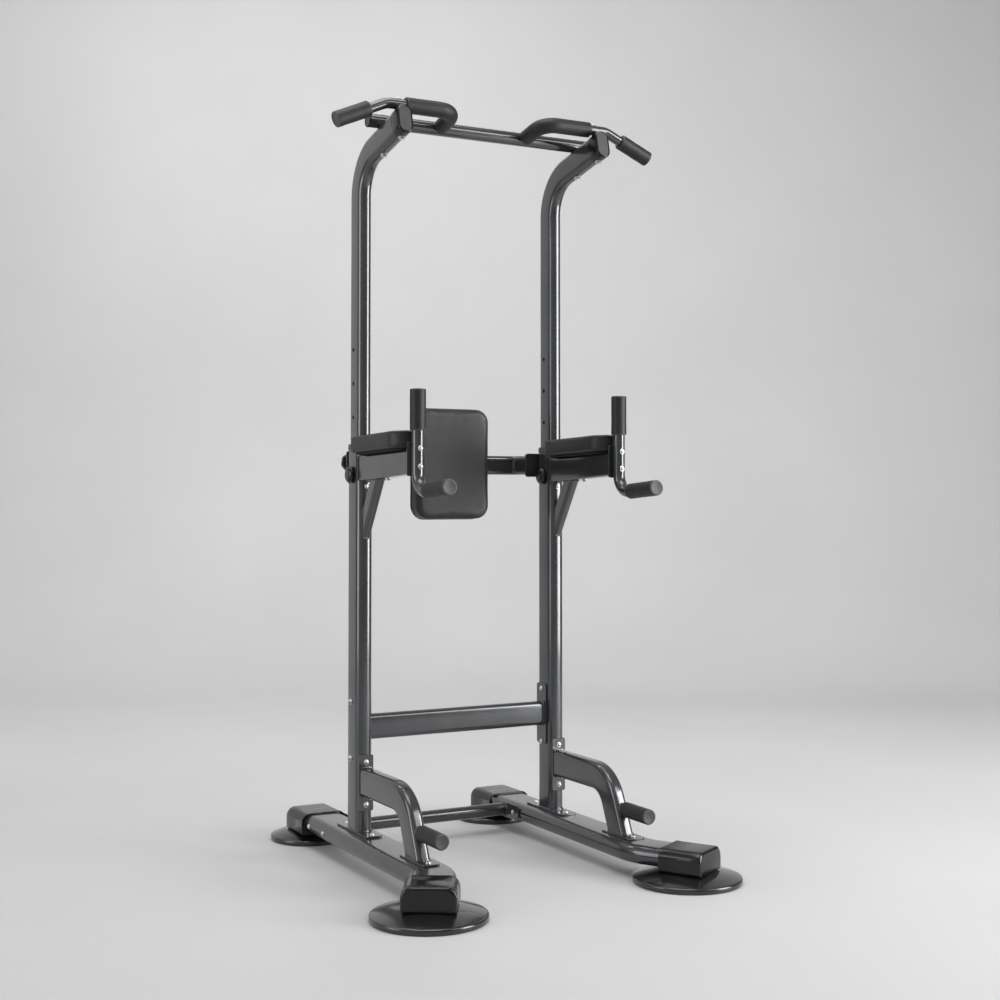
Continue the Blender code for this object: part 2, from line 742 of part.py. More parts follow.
def add_back_knob(name, side, mat):
    """Clamping knob behind an upright; it turns about its own Z, which points backward."""
    seat = LOW_D / 2 + 0.004 + 2 * GAP
    tip = 0.0385 - seat
    profile = [(0.0040, tip), (0.0040, GAP), (0.0120, GAP), (0.0120, 0.012), (0.0240, 0.0135)]
    profile += [(0.0275, 0.0165), (0.0275, 0.0265), (0.0235, 0.0300), (0.0120, 0.0315)]
    location = (side * UP_X, Y0 + seat, KNOB_Z)
    return finish(name, turned(profile, 18), mat, location, (-math.pi / 2, 0, 0))


def add_pin_barrel(name, side, mat):
    outer = [(0.0120, GAP), (0.0120, 0.0022), (0.0113, 0.0028)]
    inner = [(0.0053, GAP), (0.0053, 0.0028)]
    location = (side * UP_X - LOW_W / 2, Y0 + HOLE_Y, PIN_Z)
    return finish(name, turned_tube(outer, inner, 16), mat, location, (0, -math.pi / 2, 0))


def add_pull_pin(name, side, mat):
    """Spring pin with a conical knob; it slides along its own Z, which points to -X."""
    profile = [(0.0038, -0.0035), (0.0050, -0.0020), (0.0050, 0.0032), (0.0125, 0.0032)]
    profile += [(0.0215, 0.0034), (0.0236, 0.0050), (0.0234, 0.0075), (0.0205, 0.0108)]
    profile += [(0.0172, 0.0132), (0.0150, 0.0142), (0.0060, 0.0147)]
    location = (side * UP_X - LOW_W / 2, Y0 + HOLE_Y, PIN_Z)
    return finish(name, turned(profile, 18), mat, location, (0, -math.pi / 2, 0))


def add_lower_crossbar(mat):
    thick = 0.004
    face_x = UP_X - LOW_W / 2 - GAP
    location = (0, Y0 + CROSS_Y, CROSS_Z)
    path = [(Vector((-face_x + thick / 2, 0, 0)), X), (Vector((face_x - thick / 2, 0, 0)), X)]
    outer = flat_rings(path, Z, rounded_rect(CROSS_H, CROSS_D, 0.014, 4))
    inner = flat_rings(path, Z, rounded_rect(CROSS_H - 2 * WALL, CROSS_D - 2 * WALL, 0.012, 4))
    bar = finish("lower_crossbar", tube(outer, inner), mat, location)
    for side in (-1, 1):
        centre = Vector((side * (face_x - thick / 2), 0, -0.0005))
        face = plate_rings(centre, X, Z, 0.173, 0.052, thick, 0.008)
        combine(bar, finish("plate", solid(face), mat, location), "UNION")
        hole = bar_along(centre - X * 0.02, centre + X * 0.02, 0.011)
        combine(bar, finish("hole", hole, mat, location), "DIFFERENCE")
    return bar


def add_push_brace(name, side, mat):
    """Bent tube from the upright's front down to the rail, with its plates and the push-up stub."""
    location = (side * UP_X, Y0, 0)
    plate_t = 0.004
    front = -LOW_D / 2 - GAP
    ground = RAIL_Z + RAIL_H / 2 + GAP
    lean = Vector((0, -math.sin(BRACE_LEAN), -math.cos(BRACE_LEAN)))
    corner = Vector((0, BRACE_CORNER_Y, BRACE_Z))
    start = Vector((0, front - plate_t / 2, BRACE_Z))
    foot = corner + lean * ((BRACE_Z - ground) / math.cos(BRACE_LEAN))
    path = bent_path([start, corner, foot], [BRACE_BEND_R], math.radians(11))
    rows = []
    for shrink in (0.0, 2 * WALL):
        shape = rounded_rect(BRACE_W - shrink, BRACE_D - shrink, 0.013 - shrink / 2)
        rings = flat_rings(path, X, shape)
        rings[-1] = project(rings[-1], lean, Vector((0, 0, ground + plate_t / 2)), Z)
        rows.append(rings)
    brace = finish(name, tube(rows[0], rows[1]), mat, location)
    centre = Vector((0, front - plate_t / 2, 0.223))
    face = plate_rings(centre, Y, X, 0.042, 0.150, plate_t, 0.006)
    combine(brace, finish("plate", solid(face), mat, location), "UNION")
    sole_centre = Vector((0, -0.380, ground + plate_t / 2))
    sole = plate_rings(sole_centre, Z, X, 0.050, 0.140, plate_t, 0.008)
    combine(brace, finish("sole", solid(sole), mat, location), "UNION")
    stub = bar_along(Vector((0, -0.366, PUSH_Z)), Vector((0, PUSH_END_Y + 0.0044, PUSH_Z)), HANDLE_R)
    combine(brace, finish("stub", stub, mat, location), "UNION")
    vent = bar_along(start - Y * 0.02, start + Y * 0.02, 0.012)
    return combine(brace, finish("vent", vent, mat, location), "DIFFERENCE")


def add_push_grip(name, side, mat):
    path = [(Vector((0, -0.3930, PUSH_Z)), -Y), (Vector((0, PUSH_END_Y, PUSH_Z)), -Y)]
    return finish(name, grip(path, PUSH_GRIP_R, HANDLE_R, True), mat, (side * UP_X, Y0, 0))


def add_feet(side, tag, plastic, rubber):
    splay = Vector((side * math.sin(RAIL_SPLAY), -math.cos(RAIL_SPLAY), 0))
    nose = Vector((side * RAIL_X, RAIL_CORNER_Y, 0)) + splay * RAIL_NOSE
    middle = nose - splay * (BOOT_L / 2)
    place = (middle.x, Y0 + middle.y, 0)
    add_boot("front_foot_boot_" + tag, place, side * RAIL_SPLAY, BOOT_L, plastic)
    length = REAR_BOOT_Y[1] - REAR_BOOT_Y[0]
    place = (side * RAIL_X, Y0 + sum(REAR_BOOT_Y) / 2, 0)
    add_boot("rear_foot_boot_" + tag, place, math.pi, length, plastic)
    add_foot("front_foot_disc_" + tag, side * FRONT_FOOT[0], FRONT_FOOT[1], FRONT_FOOT[2], rubber)
    add_foot("rear_foot_disc_" + tag, side * REAR_FOOT[0], REAR_FOOT[1], REAR_FOOT[2], rubber)


def build():
    clear_scene()
    frame_paint = make_material("frame_paint", (0.060, 0.062, 0.066), 0.55, 0.34)
    foam = make_material("grip_foam", (0.022, 0.022, 0.023), 0.0, 0.80)
    vinyl = make_material("pad_vinyl", (0.050, 0.050, 0.053), 0.0, 0.55)
    plastic = make_material("black_plastic", (0.030, 0.030, 0.032), 0.0, 0.38)
    rubber = make_material("foot_rubber", (0.020, 0.020, 0.021), 0.0, 0.32)
    board = make_material("pad_board", (0.028, 0.026, 0.024), 0.0, 0.60)
    steel = make_material("zinc_steel", (0.420, 0.420, 0.430), 1.0, 0.34)
    for side, tag in ((-1, "left"), (1, "right")):
        add_rail("base_rail_" + tag, side, frame_paint)
        add_feet(side, tag, plastic, rubber)
        add_lower_upright("lower_upright_" + tag, side, frame_paint)
        add_collar("upright_collar_" + tag, side, plastic)
        add_push_brace("push_up_brace_" + tag, side, frame_paint)
        add_push_grip("push_up_grip_" + tag, side, foam)
        add_arm("arm_" + tag, side, frame_paint)
        add_strut("arm_strut_" + tag, side, frame_paint)
        add_arm_board("arm_pad_board_" + tag, side, board)
        add_arm_pad("arm_pad_" + tag, side, vinyl)
        add_dip_handle("dip_handle_" + tag, side, frame_paint)
        add_dip_grip("dip_grip_" + tag, side, foam)
        add_side_grip("side_grip_" + tag, side, foam)
        add_pin_barrel("pin_barrel_" + tag, side, steel)
        add_pull_pin("pull_pin_" + tag, side, plastic)
        add_back_knob("back_knob_" + tag, side, plastic)
        add_upper_upright("upper_upright_" + tag, side, frame_paint)
        add_end_cap("mast_end_cap_" + tag, side, plastic)
        add_bar_cap("pull_up_bar_cap_" + tag, side, plastic)
        add_top_handle("top_handle_" + tag, side, frame_paint)
        add_outer_grip("outer_grip_" + tag, side, foam)
        add_inner_grip("inner_grip_" + tag, side, foam)
    add_rear_crossbar(frame_paint)
    add_lower_crossbar(frame_paint)
    add_rest_bar(frame_paint)
    add_back_board(board)
    add_back_pad(vinyl)
    add_pull_up_bar(frame_paint)
    for obj in bpy.data.objects:
        obj.data.shade_smooth()
        obj.data.set_sharp_from_angle(angle=math.radians(33))


build()
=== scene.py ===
"""Looks of the power tower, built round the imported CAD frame. Metres, +Z up; the user faces -Y."""

import math

import bmesh
import bpy
from mathutils import Matrix, Vector, noise


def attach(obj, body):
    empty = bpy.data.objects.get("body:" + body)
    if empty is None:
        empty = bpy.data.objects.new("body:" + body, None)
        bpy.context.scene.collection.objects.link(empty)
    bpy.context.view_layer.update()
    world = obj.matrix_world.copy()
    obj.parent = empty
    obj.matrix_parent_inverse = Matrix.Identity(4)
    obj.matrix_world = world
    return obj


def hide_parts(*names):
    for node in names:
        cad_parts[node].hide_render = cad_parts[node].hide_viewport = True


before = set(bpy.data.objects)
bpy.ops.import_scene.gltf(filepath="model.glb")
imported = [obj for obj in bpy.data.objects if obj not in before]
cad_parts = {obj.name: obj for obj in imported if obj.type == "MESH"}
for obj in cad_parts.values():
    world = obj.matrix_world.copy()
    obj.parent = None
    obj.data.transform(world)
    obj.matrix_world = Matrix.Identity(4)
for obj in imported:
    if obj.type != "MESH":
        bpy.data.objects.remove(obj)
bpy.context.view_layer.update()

X = Vector((1, 0, 0))
Y = Vector((0, 1, 0))
Z = Vector((0, 0, 1))
SIDES = ((-1, "left"), (1, "right"))
MATS = {}

# The same driving sizes as the CAD part.
Y0 = 0.125
UP_X = 0.300
LOW_W, LOW_D, LOW_R = 0.046, 0.084, 0.020
LOW_BOTTOM, LOW_TOP = 0.0923, 1.118
MAST_W, MAST_D, MAST_R = 0.038, 0.075, 0.0175
MAST_CORNER_Z = 1.9044
MAST_BEND_R = 0.120
MAST_RISE = math.radians(12)
MAST_REACH = 0.2965
CAP_LENGTH, CAP_W, CAP_D, CAP_R = 0.045, 0.043, 0.078, 0.020
HOLE_Y, PIN_Z = 0.006, 1.050
KNOB_Z = 1.085
HOLES = (1.3910, 1.2988, 1.2066)
BAR_R, BAR_Y, BAR_Z, BAR_HALF = 0.0185, -0.133, 1.9902, 0.3365
HANDLE_R, HANDLE_Y, HANDLE_Z = 0.014, -0.245, 2.0115
FOAM_R = 0.021
ARM_REAR = (-0.0423, 1.0670, 0.069)
ARM_FRONT = (-0.3460, 1.0780, 0.062)
ARM_W = 0.040
DIP_R, DIP_GRIP_R, DIP_Y = 0.016, 0.0205, -0.3663
RAIL_W, RAIL_H, RAIL_X, RAIL_Z = 0.115, 0.050, 0.301, 0.062
RAIL_SPLAY, RAIL_NOSE, RAIL_CORNER_Y = math.radians(29.8), 0.1983, -0.467
BRACE_Z, BRACE_CORNER_Y, BRACE_LEAN = 0.227, -0.308, math.radians(24.5)
PUSH_Z = 0.157
BOOT_W, BOOT_LOW, BOOT_TOP, BOOT_R = 0.134, 0.0315, 0.0905, 0.026
PAD_W, PAD_L, PAD_MID_Y = 0.106, 0.299, -0.1954
PUFF_CAP, PUFF_FRAMES, PUFF_PRESSURE, PUFF_HELD_BELOW = 0.0018, 16, 3.0, 0.003
BACK_W, BACK_H, BACK_Z, BACK_FRONT_Y, BACK_T = 0.231, 0.3155, 1.0838, 0.029, 0.050


# ---------------------------------------------------------------- materials


class Nodes:
    """Short way to write a shader tree."""

    def __init__(self, name):
        self.mat = bpy.data.materials.new(name)
        self.mat.use_nodes = True
        self.tree = self.mat.node_tree
        self.shader = self.tree.nodes["Principled BSDF"]
        self.coords = self.tree.nodes.new("ShaderNodeTexCoord").outputs["Object"]
        MATS[name] = self.mat

    def set(self, **values):
        for key, value in values.items():
            self.shader.inputs[key.replace("_", " ")].default_value = value

    def node(self, kind, links=None, **settings):
        made = self.tree.nodes.new(kind)
        for key, value in settings.items():
            if key in made.inputs:
                made.inputs[key].default_value = value
            else:
                setattr(made, key, value)
        for key, source in (links or {}).items():
            self.tree.links.new(source, made.inputs[key])
        return made

    def mapped(self, scale):
        return self.node("ShaderNodeMapping", {"Vector": self.coords}, Scale=scale).outputs["Vector"]

    def noise(self, scale, detail=3.0, rough=0.5, vector=None):
        links = {"Vector": vector or self.coords}
        made = self.node("ShaderNodeTexNoise", links, Scale=scale, Detail=detail, Roughness=rough)
        return made.outputs["Fac"]

    def ramp(self, source, stops):
        made = self.node("ShaderNodeValToRGB", {"Fac": source})
        elements = made.color_ramp.elements
        for k, (place, value) in enumerate(stops):
            element = elements[k] if k < 2 else elements.new(place)
            element.position = place
            element.color = (*value, 1.0) if isinstance(value, tuple) else (value, value, value, 1.0)
        return made.outputs["Color"]

    def mix(self, factor, one, two):
        made = self.node("ShaderNodeMix", data_type="RGBA")
        for index, value in ((0, factor), (6, one), (7, two)):
            if isinstance(value, (float, int)):
                made.inputs[index].default_value = value if index == 0 else (value, value, value, 1)
            elif isinstance(value, tuple):
                made.inputs[index].default_value = (*value, 1.0)
            else:
                self.tree.links.new(value, made.inputs[index])
        return made.outputs[2]

    def to(self, name, source):
        self.tree.links.new(source, self.shader.inputs[name])

    def bumps(self, layers):
        """Each layer is (height source, strength, distance)."""
        normal = None
        for height, strength, distance in layers:
            links = {"Height": height}
            if normal is not None:
                links["Normal"] = normal
            made = self.node("ShaderNodeBump", links, Strength=strength, Distance=distance)
            normal = made.outputs["Normal"]
        self.to("Normal", normal)


def edge_mask(n, low, high):
    """Bright where an edge stands out, for wear."""
    point = n.node("ShaderNodeNewGeometry").outputs["Pointiness"]
    return n.ramp(point, ((low, 0.0), (high, 1.0)))


def paint_material():
    n = Nodes("frame_paint_look")
    cloud = n.noise(9.0, 4.0)
    fine = n.noise(420.0, 2.0)
    base = n.ramp(cloud, ((0.30, (0.058, 0.060, 0.064)), (0.72, (0.074, 0.076, 0.080))))
    wear = edge_mask(n, 0.53, 0.60)
    wear = n.mix(n.ramp(n.noise(60.0, 5.0), ((0.50, 0.0), (0.66, 0.4))), 0.0, wear)
    n.to("Base Color", n.mix(wear, base, (0.110, 0.110, 0.114)))
    n.to("Roughness", n.ramp(n.noise(35.0, 5.0), ((0.25, 0.185), (0.80, 0.225))))
    n.set(Metallic=0.62, Specular_IOR_Level=0.5, Coat_Weight=0.55, Coat_Roughness=0.09)
    n.bumps(((fine, 0.02, 0.0003), (n.noise(1500.0, 1.0), 0.02, 0.0002)))


def foam_material(name="grip_foam_look", dark=(0.005, 0.005, 0.005), light=(0.010, 0.010, 0.010)):
    n = Nodes(name)
    cells = n.node("ShaderNodeTexVoronoi", {"Vector": n.coords}, Scale=700.0).outputs["Distance"]
    n.to("Base Color", n.ramp(n.noise(40.0, 4.0), ((0.3, dark), (0.75, light))))
    n.to("Roughness", n.ramp(n.noise(250.0, 2.0), ((0.3, 0.46), (0.8, 0.62))))
    n.set(Sheen_Weight=0.02, Sheen_Roughness=0.4, Specular_IOR_Level=0.42)
    n.bumps(((n.noise(55.0, 2.0), 0.15, 0.002), (cells, 0.28, 0.0005), (n.noise(1400.0, 2.0), 0.15, 0.0003)))


def vinyl_material():
    n = Nodes("pad_vinyl_look")
    cells = n.node("ShaderNodeTexVoronoi", {"Vector": n.coords}, Scale=620.0, feature="DISTANCE_TO_EDGE")
    creases = n.ramp(cells.outputs["Distance"], ((0.0, 0.0), (0.16, 1.0)))
    small = n.node("ShaderNodeTexVoronoi", {"Vector": n.coords}, Scale=1300.0).outputs["Distance"]
    tone = n.ramp(n.noise(14.0, 4.0), ((0.3, (0.015, 0.015, 0.0155)), (0.75, (0.021, 0.021, 0.0215))))
    n.to("Base Color", n.mix(creases, (0.011, 0.011, 0.0115), tone))
    n.to("Roughness", n.ramp(n.noise(70.0, 4.0), ((0.3, 0.40), (0.8, 0.52))))
    n.set(Specular_IOR_Level=0.38, Sheen_Weight=0.03)
    n.bumps(((n.noise(28.0, 3.0), 0.10, 0.002), (creases, 0.22, 0.0003), (small, 0.10, 0.0002)))


def plastic_material():
    n = Nodes("black_plastic_look")
    tones = ((0.3, (0.004, 0.004, 0.0045)), (0.8, (0.009, 0.009, 0.0095)))
    n.to("Base Color", n.ramp(n.noise(25.0, 3.0), tones))
    n.to("Roughness", n.ramp(n.noise(90.0, 4.0), ((0.3, 0.15), (0.8, 0.24))))
    n.set(Specular_IOR_Level=0.36, Coat_Weight=0.12, Coat_Roughness=0.08)
    n.bumps(((n.noise(900.0, 2.0), 0.08, 0.0003), (n.noise(30.0, 2.0), 0.05, 0.002)))


def rubber_material():
    n = Nodes("foot_rubber_look")
    dust = n.ramp(n.noise(260.0, 6.0, 0.7), ((0.60, 0.0), (0.72, 0.35)))
    n.to("Base Color", n.mix(dust, (0.010, 0.010, 0.011), (0.032, 0.031, 0.030)))
    n.to("Roughness", n.ramp(n.noise(18.0, 4.0), ((0.3, 0.14), (0.8, 0.24))))
    n.set(Specular_IOR_Level=0.6, Coat_Weight=0.35, Coat_Roughness=0.08)
    n.bumps(((n.noise(16.0, 2.0), 0.10, 0.003), (n.noise(800.0, 2.0), 0.05, 0.0002)))


def board_material():
    n = Nodes("pad_board_look")
    fibre = n.noise(1.0, 4.0, 0.6, n.mapped((900.0, 900.0, 260.0)))
    n.to("Base Color", n.ramp(fibre, ((0.3, (0.010, 0.010, 0.010)), (0.8, (0.024, 0.023, 0.022)))))
    n.set(Roughness=0.85, Specular_IOR_Level=0.3)
    n.bumps(((fibre, 0.4, 0.0004),))


def steel_material():
    n = Nodes("zinc_steel_look")
    tone = 0.70
    brushed = n.noise(1.0, 3.0, 0.6, n.mapped((60.0, 60.0, 1400.0)))
    n.to("Base Color", n.ramp(n.noise(120.0, 4.0), ((0.3, (tone, tone, tone)), (0.8, (tone * 0.7,) * 3))))
    n.to("Roughness", n.ramp(brushed, ((0.3, 0.24), (0.8, 0.42))))
    n.set(Metallic=1.0)
    n.bumps(((brushed, 0.08, 0.0002),))


def cap_face_material():
    n = Nodes("cap_face_look")
    tones = ((0.3, (0.032, 0.032, 0.033)), (0.8, (0.046, 0.046, 0.047)))
    n.to("Base Color", n.ramp(n.noise(40.0, 3.0), tones))
    n.to("Roughness", n.ramp(n.noise(300.0, 3.0), ((0.3, 0.44), (0.8, 0.56))))
    n.bumps(((n.noise(1100.0, 2.0), 0.2, 0.0003),))


# Near-black walls for the pin holes: painted shade standing in for the dark hollow inside the tube
def bore_shade_material():
    n = Nodes("bore_shade_look")
    n.to("Base Color", n.ramp(n.noise(200.0, 3.0), ((0.3, 0.004), (0.8, 0.010))))
    n.set(Roughness=0.8)


for make in (
    paint_material,
    foam_material,
    vinyl_material,
    plastic_material,
    rubber_material,
    board_material,
    steel_material,
    cap_face_material,
    bore_shade_material,
):
    make()
foam_material("foam_end_look", (0.045, 0.045, 0.046), (0.066, 0.066, 0.067))


# ---------------------------------------------------------------- mesh tools


def rounded_rect(width, height, radius, steps=7):
    points = []
    for sx, sy, start in ((1, 1, 0), (-1, 1, 90), (-1, -1, 180), (1, -1, 270)):
        for k in range(steps + 1):
            angle = math.radians(start + 90 * k / steps)
            u = sx * (width / 2 - radius) + radius * math.cos(angle)
            v = sy * (height / 2 - radius) + radius * math.sin(angle)
            points.append((u, v))
    return points


def circle(radius, sides=36):
    return [
        (radius * math.cos(2 * math.pi * k / sides), radius * math.sin(2 * math.pi * k / sides))
        for k in range(sides)
    ]


def plan(width, length, front, back, inset=0.0, steps=8):
    points = []
    corners = ((1, 1, back, 0), (-1, 1, back, 90), (-1, -1, front, 180), (1, -1, front, 270))
    for sx, sy, radius, start in corners:
        kept = max(radius, inset + 0.0005)
        for k in range(steps + 1):
            angle = math.radians(start + 90 * k / steps)
            x = sx * (width / 2 - kept) + (kept - inset) * math.cos(angle)
            y = sy * (length / 2 - kept) + (kept - inset) * math.sin(angle)
            points.append((x, y))
    return points


def add_solid(bm, rings, slot=0, end_slot=None, closed=False):
    """Side faces and ends through rows of equal rings; closed joins the last ring to the first."""
    made = [[bm.verts.new(p) for p in ring] for ring in rings]
    pairs = list(zip(made, made[1:]))
    if closed:
        pairs.append((made[-1], made[0]))
    for first, second in pairs:
        count = len(first)
        for i in range(count):
            j = (i + 1) % count
            bm.faces.new((first[i], first[j], second[j], second[i])).material_index = slot
    if not closed:
        bm.faces.new(made[0]).material_index = slot
        bm.faces.new(made[-1]).material_index = slot if end_slot is None else end_slot


def bent_path(corners, radii, step=math.radians(4), run=0.03):
    """Points and directions along straight runs joined by arcs; long runs are split."""
    path = [(corners[0], (corners[1] - corners[0]).normalized())]

    def straight_to(point, direction):
        start = path[-1][0]
        count = max(1, math.ceil((point - start).length / run))
        for k in range(1, count + 1):
            path.append((start.lerp(point, k / count), direction))

    for i, radius in enumerate(radii, start=1):
        before = (corners[i] - corners[i - 1]).normalized()
        after = (corners[i + 1] - corners[i]).normalized()
        turn = before.angle(after)
        start = corners[i] - before * radius * math.tan(turn / 2)
        inward = (after - before * before.dot(after)).normalized()
        centre = start + inward * radius
        straight_to(start, before)
        count = max(2, math.ceil(turn / step))
        for k in range(1, count + 1):
            t = turn * k / count
            point = centre - inward * radius * math.cos(t) + before * radius * math.sin(t)
            path.append((point, before * math.cos(t) + inward * math.sin(t)))
    straight_to(corners[-1], (corners[-1] - corners[-2]).normalized())
    return path


def flat_rings(path, across, profile):
    rings = []
    for point, direction in path:
        other = direction.cross(across)
        rings.append([point + across * u + other * v for u, v in profile])
    return rings


def round_rings(path, radii, sides=36):
    if not isinstance(radii, (list, tuple)):
        radii = [radii] * len(path)
    rings = []
    across = path[0][1].orthogonal().normalized()
    last = path[0][1]
    for (point, direction), radius in zip(path, radii):
        across = last.rotation_difference(direction) @ across
        last = direction
        other = direction.cross(across)
        rings.append([point + across * u + other * v for u, v in circle(radius, sides)])
    return rings


def project(ring, direction, point, normal):
    return [p + direction * ((point - p).dot(normal) / direction.dot(normal)) for p in ring]


def eased(path, radius, lip):
    """Path and radii with rounded ends for a sleeve."""
    steps = 4
    ends = []
    for (origin, toward), inward in ((path[0], 1), (path[-1], -1)):
        rows = []
        for k in range(steps + 1):
            t = math.pi / 2 * (k if inward > 0 else steps - k) / steps
            spot = origin + toward * inward * lip * (1 - math.cos(t))
            rows.append((spot, toward, radius - lip * (1 - math.sin(t))))
        ends.append(rows)
    rows = ends[0] + [(p, d, radius) for p, d in path[1:-1]] + ends[1]
    return [(p, d) for p, d, _ in rows], [r for _, _, r in rows]


def plate(bm, centre, normal, across, width, height, thickness, radius):
    """Rounded plate with eased edges."""
    edge = 0.0008
    levels = ((-0.5, edge), (-0.5 + edge / thickness, 0), (0.5 - edge / thickness, 0), (0.5, edge))
    rings = []
    for share, inset in levels:
        shape = rounded_rect(width - 2 * inset, height - 2 * inset, radius - inset)
        rings.append(flat_rings([(centre + normal * thickness * share, normal)], across, shape)[0])
    add_solid(bm, rings)


def turned(bm, base, axis, profile, sides=40, slot=0, wave=None):
    """Solid of revolution about an axis; wave(angle, radius) may change the radius."""
    across = axis.orthogonal().normalized()
    other = axis.cross(across)
    rings = []
    for radius, height in profile:
        ring = []
        for k in range(sides):
            t = 2 * math.pi * k / sides
            r = wave(t, radius) if wave else radius
            ring.append(base + axis * height + across * r * math.cos(t) + other * r * math.sin(t))
        rings.append(ring)
    add_solid(bm, rings, slot)


def bolt(bm, base, axis, radius, dome=True):
    """Washer and hexagon head standing on base, with the thread's end as a small dome."""
    height = 0.0016
    r = radius * 1.42
    turned(bm, base, axis, ((r - 0.0003, 0), (r, 0.0003), (r, 0.0013), (r - 0.0004, height)), 32)
    across = axis.orthogonal().normalized()
    other = axis.cross(across)
    thick = radius * 0.85
    rows = []
    for share, grow in ((0.0, 1.0), (0.82, 1.0), (0.95, 0.95), (1.0, 0.84)):
        ring = []
        for k in range(24):
            t = 2 * math.pi * k / 24
            flat = math.cos(math.pi / 6) / math.cos((t % (math.pi / 3)) - math.pi / 6)
            reach = radius * min(flat, grow)
            spot = base + axis * (height + thick * share)
            ring.append(spot + across * reach * math.cos(t) + other * reach * math.sin(t))
        rows.append(ring)
    add_solid(bm, rows)
    if dome:
        r = radius * 0.55
        steps = [(r * math.cos(a), height + thick + r * 0.7 * math.sin(a)) for a in (0, 0.5, 1.0, 1.4)]
        turned(bm, base, axis, [(r, height + thick * 0.9)] + steps, 20)


def bead(bm, loop, radius=0.0022, seed=0.0):
    """Weld bead along a closed row of points."""
    dense = []
    for i, start in enumerate(loop):
        end = loop[(i + 1) % len(loop)]
        parts = max(1, round((end - start).length / 0.0022))
        dense += [start.lerp(end, k / parts) for k in range(parts)]
    rings = []
    for i, point in enumerate(dense):
        direction = (dense[(i + 1) % len(dense)] - dense[i - 1]).normalized()
        across = direction.orthogonal().normalized()
        other = direction.cross(across)
        ripple = 1 + 0.16 * math.sin(i * 1.9) + 0.16 * noise.noise(point * 90 + Vector((seed, 0, 0)))
        rings.append([point + (across * u + other * v) * ripple for u, v in circle(radius, 8)])
    add_solid(bm, rings, closed=True)


def add_object(name, data):
    obj = bpy.data.objects.new(name, data)
    bpy.context.scene.collection.objects.link(obj)
    return obj


def baked(obj):
    """The object's mesh with its modifiers applied."""
    bpy.context.view_layer.update()
    graph = bpy.context.evaluated_depsgraph_get()
    return bpy.data.meshes.new_from_object(obj.evaluated_get(graph))


def piece(name, bm, body, mats, nodes=(), sharp=32):
    """Puts a finished mesh in the scene and lets it ride on its body."""
    bmesh.ops.recalc_face_normals(bm, faces=bm.faces[:])
    mesh = bpy.data.meshes.new(name)
    bm.to_mesh(mesh)
    bm.free()
    for mat in mats:
        mesh.materials.append(MATS[mat])
    mesh.shade_smooth()
    mesh.set_sharp_from_angle(angle=math.radians(sharp))
    obj = add_object(name, mesh)
    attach(obj, body)
    if nodes:
        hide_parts(*nodes)
    return obj


def painted(name, bm, node, body="frame"):
    """A painted steel piece that stands for one CAD node."""
    return piece(name, bm, body, ["frame_paint_look"], [node])


def cut_with(obj, bm, mat):
    """Cuts small holes in a piece; their walls take the given material."""
    bmesh.ops.recalc_face_normals(bm, faces=bm.faces[:])
    mesh = bpy.data.meshes.new("tool")
    bm.to_mesh(mesh)
    bm.free()
    mesh.materials.append(MATS[mat])
    tool = add_object("tool", mesh)
    modifier = obj.modifiers.new("cut", "BOOLEAN")
    modifier.operation = "DIFFERENCE"
    modifier.solver = "EXACT"
    modifier.object = tool
    modifier.material_mode = "TRANSFER"
    made = baked(obj)
    obj.modifiers.clear()
    obj.data = made
    made.name = obj.name
    made.set_sharp_from_angle(angle=math.radians(32))
    bpy.data.objects.remove(tool)


# ---------------------------------------------------------------- base


def build_rail(side, tag):
    corner = Vector((side * RAIL_X, RAIL_CORNER_Y + Y0, RAIL_Z))
    splay = Vector((side * math.sin(RAIL_SPLAY), -math.cos(RAIL_SPLAY), 0))
    start = Vector((side * RAIL_X, 0.350 + Y0, RAIL_Z))
    path = bent_path([start, corner, corner + splay * (RAIL_NOSE - 0.012)], [0.12], math.radians(2))
    bm = bmesh.new()
    add_solid(bm, flat_rings(path, Z, rounded_rect(RAIL_H, RAIL_W, 0.0245, 10)))
    painted("rail_" + tag, bm, "base_rail_" + tag)


def boot_ring(y, inset):
    """Outline of a boot across its length: well rounded above, nearly square below."""
    low = 0.006
    points = []
    half = BOOT_W / 2 - inset
    corners = ((1, 1, BOOT_R, 0), (-1, 1, BOOT_R, 90), (-1, -1, low, 180), (1, -1, low, 270))
    for sx, sz, radius, start in corners:
        middle = BOOT_TOP - inset - radius if sz > 0 else BOOT_LOW + radius
        for k in range(11):
            angle = math.radians(start + 9 * k)
            x = sx * (half - radius) + radius * math.cos(angle)
            points.append(Vector((x, y, middle + radius * math.sin(angle))))
    return points


def build_boot(name, centre, turn, length, node):
    """Moulded cover over a rail's end, pointing along its own -Y."""
    front = -length / 2
    soft = 0.0075
    turns = (1.57, 1.25, 0.95, 0.65, 0.32, 0.0)
    rows = [(front + soft * (1 - math.sin(t)), soft * (1 - math.cos(t))) for t in turns]
    rows += [(y, 0.0) for y in (front + 0.03, 0.0, length / 2 - 0.0060)]
    rows += [(length / 2 - 0.0052, -0.0006), (length / 2 - 0.0012, -0.0006), (length / 2, 0.0004)]
    bm = bmesh.new()
    add_solid(bm, [boot_ring(y, inset) for y, inset in rows])
    lip = [Vector((x, length / 2 + 0.0002, z)) for x, z in rounded_rect(0.1185, 0.0535, 0.0262, 6)]
    bead(bm, [p + Z * RAIL_Z for p in lip], 0.0016)
    turn_matrix = Matrix.Rotation(turn, 4, "Z")
    bmesh.ops.transform(bm, matrix=Matrix.Translation(centre) @ turn_matrix, verts=bm.verts[:])
    piece(name, bm, "frame", ["black_plastic_look"], [node], 40)


